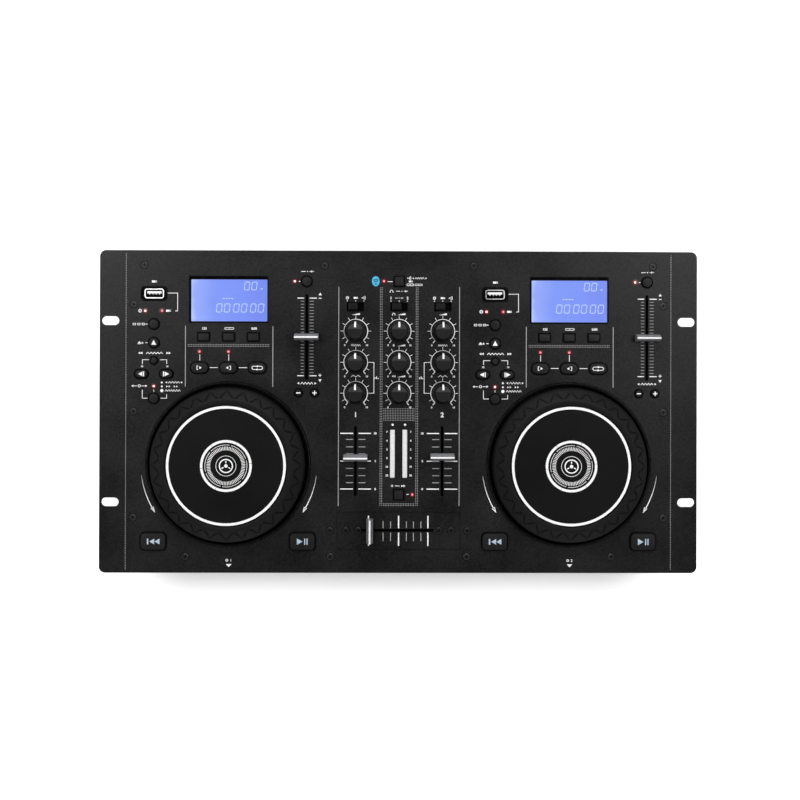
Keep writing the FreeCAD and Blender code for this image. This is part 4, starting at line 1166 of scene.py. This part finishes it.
def makeDisplays():
    windowTop = zTop - screen["windowDrop"]
    windowFoot = windowTop - screen["windowThick"]
    litTop = windowFoot - screen["gap"]
    litFoot, foot = litTop - screen["litThick"], spanOf("displays")[4]
    outerW, outerD, innerW, innerD, drop = screen["openingShade"]
    litW, litD = screen["litW"], screen["litD"]
    for side in sides:
        cx, cy = deckX[side], screen["y"]
        lx, ly = cx + screen["litX"], cy + screen["litY"]
        bm = bmesh.new()
        outer = roundedOutline(cx, cy, screen["w"], screen["d"], 0.4, 2)
        inner = roundedOutline(lx, ly, litW, litD, 0.5, 2)
        stack(bm, [(outer, foot), (outer, windowFoot), (inner, windowFoot), (inner, litFoot)])
        # flange that holds the module below the panel
        bar(bm, cx, cy, *screen["flange"], (foot, zUnder))
        # black lining on the panel's opening above the window: painted shade on the opening's cut edge
        outer = roundedOutline(cx, cy, outerW, outerD, 0.4, 2)
        inner = roundedOutline(cx, cy, innerW, innerD, 0.3, 2)
        rim = zTop - drop
        stack(bm, [(outer, windowTop), (outer, rim), (inner, rim), (inner, windowTop)], "joined")
        makePiece(f"{side}DisplayFrame", bm, "jetAbsAndPaintedShade", "chassis", ("displays",))
        bm = bmesh.new()
        bar(bm, lx, ly, litW, litD, (litFoot, litTop))
        layer = bm.loops.layers.uv.new("screen")
        for corner in [corner for face in bm.faces for corner in face.loops]:
            corner[layer].uv = ((corner.vert.co.x - lx) / litW + 0.5, (corner.vert.co.y - ly) / litD + 0.5)
        makePiece(f"{side}DisplayCrystal", bm, "backlitCrystal", "chassis")
        bm = bmesh.new()
        z = (litTop, litTop + inkThick)
        for row, gaps in (("small", (0, 0)), ("large", screen["pairGaps"])):
            x, pitch, y, size = screen[row]
            for i, gap in enumerate(gaps):
                addZero(bm, lx + x + i * pitch + gap, ly + y, size, z)
        for dx, dy, w, d in screen["dashes"]:
            bar(bm, lx + dx, ly + dy, w, d, z)
        makePiece(f"{side}DisplayFigures", bm, "segmentGlow", "chassis")
        bm = bmesh.new()
        bar(bm, cx, cy, screen["w"], screen["d"], (windowFoot, windowTop))
        makePiece(f"{side}DisplayWindow", bm, "clearAcrylic", "chassis")
    print("displays done")


# round lenses of the lights, and the opal bars of the meter
lamp = {"radius": 1.5, "core": 0.9, "spill": 2.3, "deck": {     # places from a deck's centre line
    "lensCore": ((-67.0, 81.0), (-60.0, 20.3), (53.3, 105.2)),
    "lensCoreDim": ((-53.5, 81.0), (-23.3, 48.2), (0.0, 48.2))}, "mixer": ((-12.3, 105.5), (11.0, -66.8))}
meter = {"places": (-5.2, 4.8), "y": -33.9, "w": 3.95, "length": 38.9, "rise": 0.2, "corner": 1.0}


def makeLights():
    *_, low, top = spanOf("indicator_lights")
    r, c, reach = lamp["radius"], lamp["core"], lamp["spill"]
    seat = top - 0.1
    lens, spill = bmesh.new(), bmesh.new()
    cores = {name: bmesh.new() for name in lamp["deck"]}
    for name, core in cores.items():
        places = [(x + deckX[side], y) for side in sides for x, y in lamp["deck"][name]]
        for x, y in places + list(lamp["mixer"] if name == "lensCoreDim" else ()):
            lathe(lens, x, y, [(0, low), (r, low), (r, zTop + 0.1), (r - 0.2, zTop + 0.28), (c, seat),
                               (0, seat)], 24)
            lathe(core, x, y, [(0, seat), (c, seat), (c * 0.75, top - 0.03), (0, top)], 20)
            lathe(spill, x, y, [(r - 0.1, zTop - 0.05), (reach, zTop), (reach, zTop + 0.02),
                                (r - 0.1, zTop + 0.06), (r - 0.1, zTop - 0.05)], 24)
    makePiece("lampLenses", lens, "lensRed", "chassis", ("indicator_lights",))
    makePiece("lampSpill", spill, "lensSpill", "chassis")
    for name, core in cores.items():
        makePiece(f"lamp_{name}", core, name, "chassis")
    bm = bmesh.new()
    for x in meter["places"]:
        addCap(bm, x, meter["y"], meter["w"], meter["length"], meter["corner"], low, zTop + meter["rise"])
    makePiece("meterBars", bm, "opalAcrylic", "chassis")
    print("lights done")


# cross-head screws: a domed head with a black cross in a dark ring; the cross and the ring are painted shade,
# in the recess and round the head
screw = {"radius": 2.75, "dome": 0.82, "ring": 3.3, "height": 0.5, "cross": 1.9, "slot": 0.7, "depth": 0.4,
         "steps": 24, "seed": 7}
screwPlaces = {     # on the right half; the left half mirrors them
    "panel": ((205.5, 118.0), (214.0, 86.3), (214.2, 0.0), (214.2, -85.5), (172.0, -117.0), (60.3, 118.0),
              (55.0, -117.0)),
    "plate": ((55.5, -96.0), (42.5, -96.0), (32.5, -96.0)),     # black ones, in the crossfader's plate
}


def makeScrews():
    h, deep, half = screw["height"], screw["height"] - screw["depth"], screw["slot"] / 2
    steps = screw["steps"]
    around = [2 * math.pi * (i + 0.5) / steps for i in range(steps)]

    def crossAt(share):
        # outline of the recess, with as many points as the head
        reach = [min(screw["cross"] / max(c, s), half / min(c, s)) * share
                 for c, s in ((abs(math.cos(a)), abs(math.sin(a))) for a in around)]
        return [(r * math.cos(a), r * math.sin(a)) for r, a in zip(reach, around)]

    rim = [(screw["radius"] * math.cos(a), screw["radius"] * math.sin(a)) for a in around]
    dome = [(x * screw["dome"], y * screw["dome"]) for x, y in rim]
    head, ring, mark = bmesh.new(), bmesh.new(), bmesh.new()
    stack(head, [(rim, 0), (rim, h * 0.4), (dome, h), (crossAt(1), h), (crossAt(0.9), deep)])
    prism(ring, circle(0, 0, screw["ring"], steps), (0, 0.03))
    prism(mark, crossAt(0.95), (deep - 0.02, deep + 0.12))
    for label, made, material in (("Heads", head, "blackenedSteel"), ("Rings", ring, "jetAbsAndPaintedShade"),
                                  ("Crosses", mark, "jetAbsAndPaintedShade")):
        shape = pattern(made)
        for where, spots in screwPlaces.items():
            coat = "powderCoatCharcoal" if where == "plate" and label == "Heads" else material
            points = [(sx * x, y, zTop) for sx in (-1, 1) for x, y in spots]
            screws = repeated(f"{where}Screw{label}", "scatter", shape, coat,
                              {"Turn": 2 * math.pi, "Seed": screw["seed"]}, points)
            assign(screws, coat, "chassis")
        bpy.data.objects.remove(shape)
    print("screws done")


# sockets: data sockets in the panel, round and jack sockets, inlet and switch frame in the walls
dataSocket = {"x": -60.0, "y": 95.0, "w": 15.5, "d": 7.9, "corner": 2.0, "wall": 0.75,
              "hole": (19.4, 9.9, 1.7), "length": 17.0, "drop": 0.4,
              "collarDrop": 1.2, "collarThick": 3.0, "bore": 6.0,
              "tongue": (1.0, 1.7, 11.5, 0.5),      # place, sides, drop below the rim
              "contacts": (-3.9, -1.3, 1.3, 3.9), "contact": ((-0.8, 0.25), (0.0, -1.0), (0.8, 0.25)),
              "contactDrop": 0.9}
phono = {"places": (-160.0, -134.0, -80.0), "z": 50.0, "pitch": 18.0,
         "housing": 14.0, "within": (-11.2, -1.2),
         "barrel": ((3.3, 0.2), (3.3, 7.2), (3.5, 7.4), (4.0, 7.4), (4.15, 7.2), (4.15, -1.2), (3.3, -1.2),
                    (3.3, 0.2)),
         "ring": ((0, -1.0), (3.3, -1.0), (3.3, 6.6), (2.9, 6.9), (1.9, 6.9), (1.7, 6.6), (1.7, -0.4),
                  (0, -0.4))}
jack = {"places": (-21.0, 21.0), "z": 46.0, "bore": 3.2, "nut": 6.5, "nutHeights": (2.6, 3.0), "bevel": 0.93,
        "depth": 24.8, "housing": 15.0, "within": (-29.2, -1.2)}
# place, sides, length, wall and depth of the pocket
framed = {"inlet": (170.0, 27.0, 20.0, 22.0, 1.8, 16.5), "power": (132.0, 19.0, 13.0, 14.0, 1.3, 14.0)}
lip = {"grow": 4, "bevel": 3.2, "heights": (1.5, 2.0)}
pins = {"places": ((-7.0, -2.0), (0.0, 2.0), (7.0, -2.0)), "sides": (2.0, 5.0), "within": (-14.5, -3.0)}


def turnToWall(bm, x, z, rear):
    # a shape drawn standing at the origin, +Z outwards, set on the rear or front wall
    turn = Matrix.Rotation(math.radians(-90 if rear else 90), 4, "X")
    shift = Matrix.Translation((x, rearY if rear else frontY, z))
    bmesh.ops.transform(bm, verts=bm.verts, matrix=shift @ turn)


def onWall(target, x, z, rear, draw, *measures):
    # draws a shape and sets it on a wall, as a part of the target
    made = bmesh.new()
    draw(made, *measures)
    turnToWall(made, x, z, rear)
    mesh = bpy.data.meshes.new("part")
    made.to_mesh(mesh)
    made.free()
    target.from_mesh(mesh)
    bpy.data.meshes.remove(mesh)


def makeDataSockets():
    s = dataSocket
    top, collarTop = zTop - s["drop"], zTop - s["collarDrop"]
    floor = top - s["bore"]
    innerW, innerD, innerCorner = s["w"] - 2 * s["wall"], s["d"] - 2 * s["wall"], s["corner"] - s["wall"]
    holeW, holeD, holeCorner = s["hole"]
    shell, collar, contacts = bmesh.new(), bmesh.new(), bmesh.new()
    for side in sides:
        x, y = deckX[side] + s["x"], s["y"]
        outer = roundedOutline(x, y, s["w"], s["d"], s["corner"], 4)
        inner = roundedOutline(x, y, innerW, innerD, innerCorner, 4)
        stack(shell, [(outer, zTop - s["length"]), (outer, top), (inner, top), (inner, floor - 0.8)])
        # black lining from just under the rim down to the floor of the pocket, and the tongue in it
        lining = roundedOutline(x, y, innerW - 0.1, innerD - 0.1, innerCorner, 4)
        core = roundedOutline(x, y, innerW - 1.0, innerD - 1.0, 0.4, 4)
        stack(collar, [(lining, floor - 0.5), (lining, top - 0.3), (core, top - 0.6), (core, floor)])
        hole, foot = roundedOutline(x, y, holeW, holeD, holeCorner, 4), collarTop - s["collarThick"]
        stack(collar, [(hole, foot), (hole, collarTop), (outer, collarTop), (outer, foot)], "joined")
        dy, thick, long, drop = s["tongue"]
        bar(contacts, x, y + dy, long, thick, (floor, top - drop))
        for cx in s["contacts"]:
            outline = [(x + cx + px, y + py) for px, py in s["contact"]]
            prism(contacts, outline, (floor, top - s["contactDrop"]))
    makePiece("dataSocketShells", shell, "tinPlate", "chassis", ("sockets",))
    makePiece("dataSocketCollars", collar, "jetAbsAndPaintedShade", "chassis")
    makePiece("dataSocketTongues", contacts, "screenInkWhite", "chassis")


def makeWallSockets():
    housings, barrels, red, white = bmesh.new(), bmesh.new(), bmesh.new(), bmesh.new()
    z = phono["z"]
    box = roundedOutline(0, 0, phono["housing"], phono["pitch"] + phono["housing"], 1.0, 3)
    for x in phono["places"]:
        for i, ring in ((-1, red), (1, white)):
            for target, profile in ((barrels, "barrel"), (ring, "ring")):
                onWall(target, x, z + i * phono["pitch"] / 2, True, lathe, 0, 0, phono[profile], 32)
        onWall(housings, x, z, True, prism, box, phono["within"])
    # nut of a jack socket: a hexagon drawn with as many points as the bore
    bore, hexagon = circle(0, 0, jack["bore"], 24), []
    for i, (px, py) in enumerate(circle(0, 0, jack["nut"], 24)):
        inward = math.cos(math.radians(30)) / math.cos(math.radians((i * 15.0) % 60.0 - 30.0))
        hexagon.append((px * inward, py * inward))
    trimmed = [(px * jack["bevel"], py * jack["bevel"]) for px, py in hexagon]
    side, top = jack["nutHeights"]
    nut = [(hexagon, 0.0), (hexagon, side), (trimmed, top), (bore, top), (bore, -jack["depth"])]
    body = roundedOutline(0, 0, jack["housing"], jack["housing"], 1.0, 3)
    for x in jack["places"]:
        onWall(barrels, x, jack["z"], False, stack, nut)
        onWall(housings, x, jack["z"], False, prism, body, jack["within"])
    wide, bevel, (side, top) = lip.values()
    for x, w, d, length, wall, pocket in framed.values():
        loops = [(roundedOutline(0, 0, w + grow, d + grow, corner, 3), height) for grow, corner, height in (
            (0, 1.0, -length), (0, 1.0, 0.0), (wide, 1.6, 0.0), (wide, 1.6, side), (bevel, 1.3, top),
            (-2 * wall, 0.8, top), (-2 * wall, 0.8, top - pocket))]
        onWall(housings, x, z, True, stack, loops)
    for dx, dz in pins["places"]:
        onWall(barrels, framed["inlet"][0], z, True, bar, dx, dz, *pins["sides"], pins["within"])
    for name, made, material in (("socketHousings", housings, "jetAbsAndPaintedShade"),
                                 ("socketBarrels", barrels, "nickelPlate"),
                                 ("phonoRingsRed", red, "phonoRed"),
                                 ("phonoRingsWhite", white, "phonoWhite")):
        makePiece(name, made, material, "chassis")
    print("sockets done")


# power switch: a rocker with a bowed face, tilted as it rests
rocker = {"half": 7.55, "crest": 3.6, "fall": 1.3, "bow": 1.2, "depth": 3.5, "length": 9.9, "tilt": 8.0,
          "markX": 4.4, "markSides": (0.7, 3.2), "markRing": (1.5, 0.6), "markFall": 0.62,
          "markDepth": 0.1, "markThick": 0.22}


def makePowerRocker():
    half, crest, fall = rocker["half"], rocker["crest"], rocker["fall"]
    depth, reach = rocker["depth"], rocker["length"] / 2
    section = [(-half, crest - fall)]
    for i in range(1, 12):
        t = -half + 2 * half * i / 12
        section.append((t, crest - fall * (abs(t) / half) ** rocker["bow"]))
    section += [(half, crest - fall), (half - 1, -depth), (1 - half, -depth)]
    key, marks = bmesh.new(), bmesh.new()
    tube(key, [[(x, y, z) for x, z in section] for y in (-reach, reach)])
    markFoot = crest - fall * rocker["markFall"] - rocker["markDepth"]
    z = (markFoot, markFoot + rocker["markThick"])
    bar(marks, -rocker["markX"], 0, *rocker["markSides"], z)
    radius, width = rocker["markRing"]
    ribbon(marks, circle(rocker["markX"], 0, radius, 24), width, z, True)
    tilt = Matrix.Rotation(math.radians(rocker["tilt"]), 3, "Y")
    for made, label, material, replaced in ((key, "key", "mouldedAbsBlack", ("power_rocker",)),
                                            (marks, "marks", "screenInkWhite", ())):
        bmesh.ops.rotate(made, verts=made.verts, cent=(0, 0, 0), matrix=tilt)
        turnToWall(made, framed["power"][0], phono["z"], True)
        makePiece(f"powerRocker_{label}", made, material, "power_rocker", replaced)
    print("power switch done")


# round rubber feet with a screw recess
feet = {"radius": 12.0, "height": 8.0, "recess": 4.0, "recessTop": 3.0}


def makeFeet():
    low, high = boxOf("feet")
    r, h, recess, recessTop = feet.values()
    bm = bmesh.new()
    for x in (low.x + r, high.x - r):
        for y in (low.y + r, high.y - r):
            lathe(bm, x, y, [(0, recessTop), (recess, recessTop), (recess, 0.5), (recess + 0.5, 0),
                             (r - 1.6, 0), (r - 0.9, 0.3), (r - 0.5, 1.0), (r - 0.05, h - 0.4),
                             (r - 0.3, h), (0, h)], 48)
    makePiece("rubberFeet", bm, "softTouchRubber", "chassis", ("feet",))
    print("feet done")


# the solids that keep their own mesh get their real finish
dressed = {
    "top_panel": "powderCoatCharcoal",
    "crossfader_plate": "powderCoatCharcoal",
    "case_tub": "powderCoatBlack",
    "jog_collars": "jetAbsAndPaintedShade",
    "slider_bodies": "jetAbsAndPaintedShade",
    "circuit_boards": "solderMask",
    "disc_drives": "jetAbsAndPaintedShade",
    "power_supply": "varnishedIron",
}


def dressSolids():
    for node, name in dressed.items():
        piece = frame["nodes"][node]
        piece.data.materials.clear()
        piece.data.materials.append(finish[name])
    print("solids dressed:", len(dressed))


# studio: a pale floor, soft boxes at the rear and the sides, and a camera straight above
studio = {
    "floor": 6.0,
    "floorLift": 0.95,
    # the floor's painted shadow: how far from the object it reaches, and how steeply it falls off
    "floorShadeReach": 0.06,      # how far from the object the floor's own light begins to fade, in metres
    "floorShadeFalloff": 2.5,
    "ambient": 0.15,
    "overhead": 0.1,        # the sky straight above, against 1 at its foot
    "skyFade": (0.45, 0.95),        # between these heights of the direction
    "boxes": {      # place in metres, size, power
        "rearBox": ((0.0, 1.7, 1.35), (1.6, 0.6), 24.0),
        "frontBox": ((0.0, -1.5, 1.5), (1.6, 0.5), 5.5),
        "leftBox": ((-0.72, 0.45, 1.4), (0.62, 0.75), 8.6),
        "rightBox": ((0.72, 0.45, 1.4), (0.62, 0.75), 8.6),
    },
}
view = {"place": (-13.57, 60.95, 1190.0), "turn": (0.235, -0.743, 0.170), "lens": 61.27, "shift": -0.0865}


def rayShare(tree):
    # 1 where the ray comes from the camera, a mirror or clear plastic
    path = addNode(tree, "ShaderNodeLightPath").outputs
    seen = maths(tree, "ADD", path["Is Camera Ray"], path["Is Glossy Ray"])
    return maths(tree, "ADD", seen, path["Is Transmission Ray"], clamp=True)


def makeStudio():
    scene = bpy.context.scene
    scene.view_settings.view_transform = "Standard"
    world = bpy.data.worlds.new("studio")
    world.use_nodes = True
    scene.world = world
    tree = world.node_tree
    tree.nodes.clear()
    # the sky that is seen is white round its foot and falls off overhead, as a room's does
    direction = addNode(tree, "ShaderNodeTexCoord").outputs["Generated"]
    upward = addNode(tree, "ShaderNodeSeparateXYZ", {}, {0: direction})
    shown = remap(tree, upward.outputs["Z"], 1.0, studio["overhead"], *studio["skyFade"])
    strength = remap(tree, rayShare(tree), studio["ambient"], shown)
    sky = addNode(tree, "ShaderNodeBackground", {}, {"Color": linear("#ffffff"), "Strength": strength})
    addNode(tree, "ShaderNodeOutputWorld", {}, {"Surface": sky.outputs[0]})

    # the floor's own light is darkened near the object by ambient occlusion, a painted shadow, so that its
    # shadow stays
    half = studio["floor"] / 2
    mesh = bpy.data.meshes.new("floor")
    mesh.from_pydata([(x, y, 0) for x, y in rect(-half, -half, half, half)], [], [(0, 1, 2, 3)])
    material, tree, _ = startMaterial("paleFloor")
    lit = addNode(tree, "ShaderNodeBsdfDiffuse", {}, {"Color": linear("#e6e6e6")})
    paintedFloorShade = addNode(tree, "ShaderNodeAmbientOcclusion", {"samples": 16}, {"Distance": studio["floorShadeReach"]})
    faded = maths(tree, "POWER", paintedFloorShade.outputs["AO"], studio["floorShadeFalloff"])
    lift = maths(tree, "MULTIPLY", rayShare(tree), studio["floorLift"])
    own = addNode(tree, "ShaderNodeEmission", {}, {
        "Color": linear("#ffffff"), "Strength": maths(tree, "MULTIPLY", lift, faded)})
    endMaterial(material, {0: lit.outputs[0], 1: own.outputs[0]}, "ShaderNodeAddShader")
    mesh.materials.append(material)
    floor = show("floor", mesh)

    for name, (spot, size, power) in studio["boxes"].items():
        data = bpy.data.lights.new(name, "AREA")
        data.shape = "RECTANGLE"
        data.size, data.size_y, data.energy = *size, power
        box = show(name, data)
        box.location = spot
        box.rotation_euler = (-Vector(spot)).to_track_quat("-Z", "Y").to_euler()

    data = bpy.data.cameras.new("camera")
    data.lens, data.sensor_width, data.shift_y = view["lens"], 36.0, view["shift"]
    camera = show("camera", data)
    camera.location = [v * mm for v in view["place"]]
    camera.rotation_euler = [math.radians(a) for a in view["turn"]]
    scene.camera = camera
    print("studio ready")


dressSolids()
makePrint()
makeLattices()
makeJogWheels()
makeKeyGapShade()
makeKeys()
makeKnobs()
makeFaders()
makeDisplays()
makeLights()
makeScrews()
makeDataSockets()
makeWallSockets()
makePowerRocker()
makeFeet()
makeStudio()
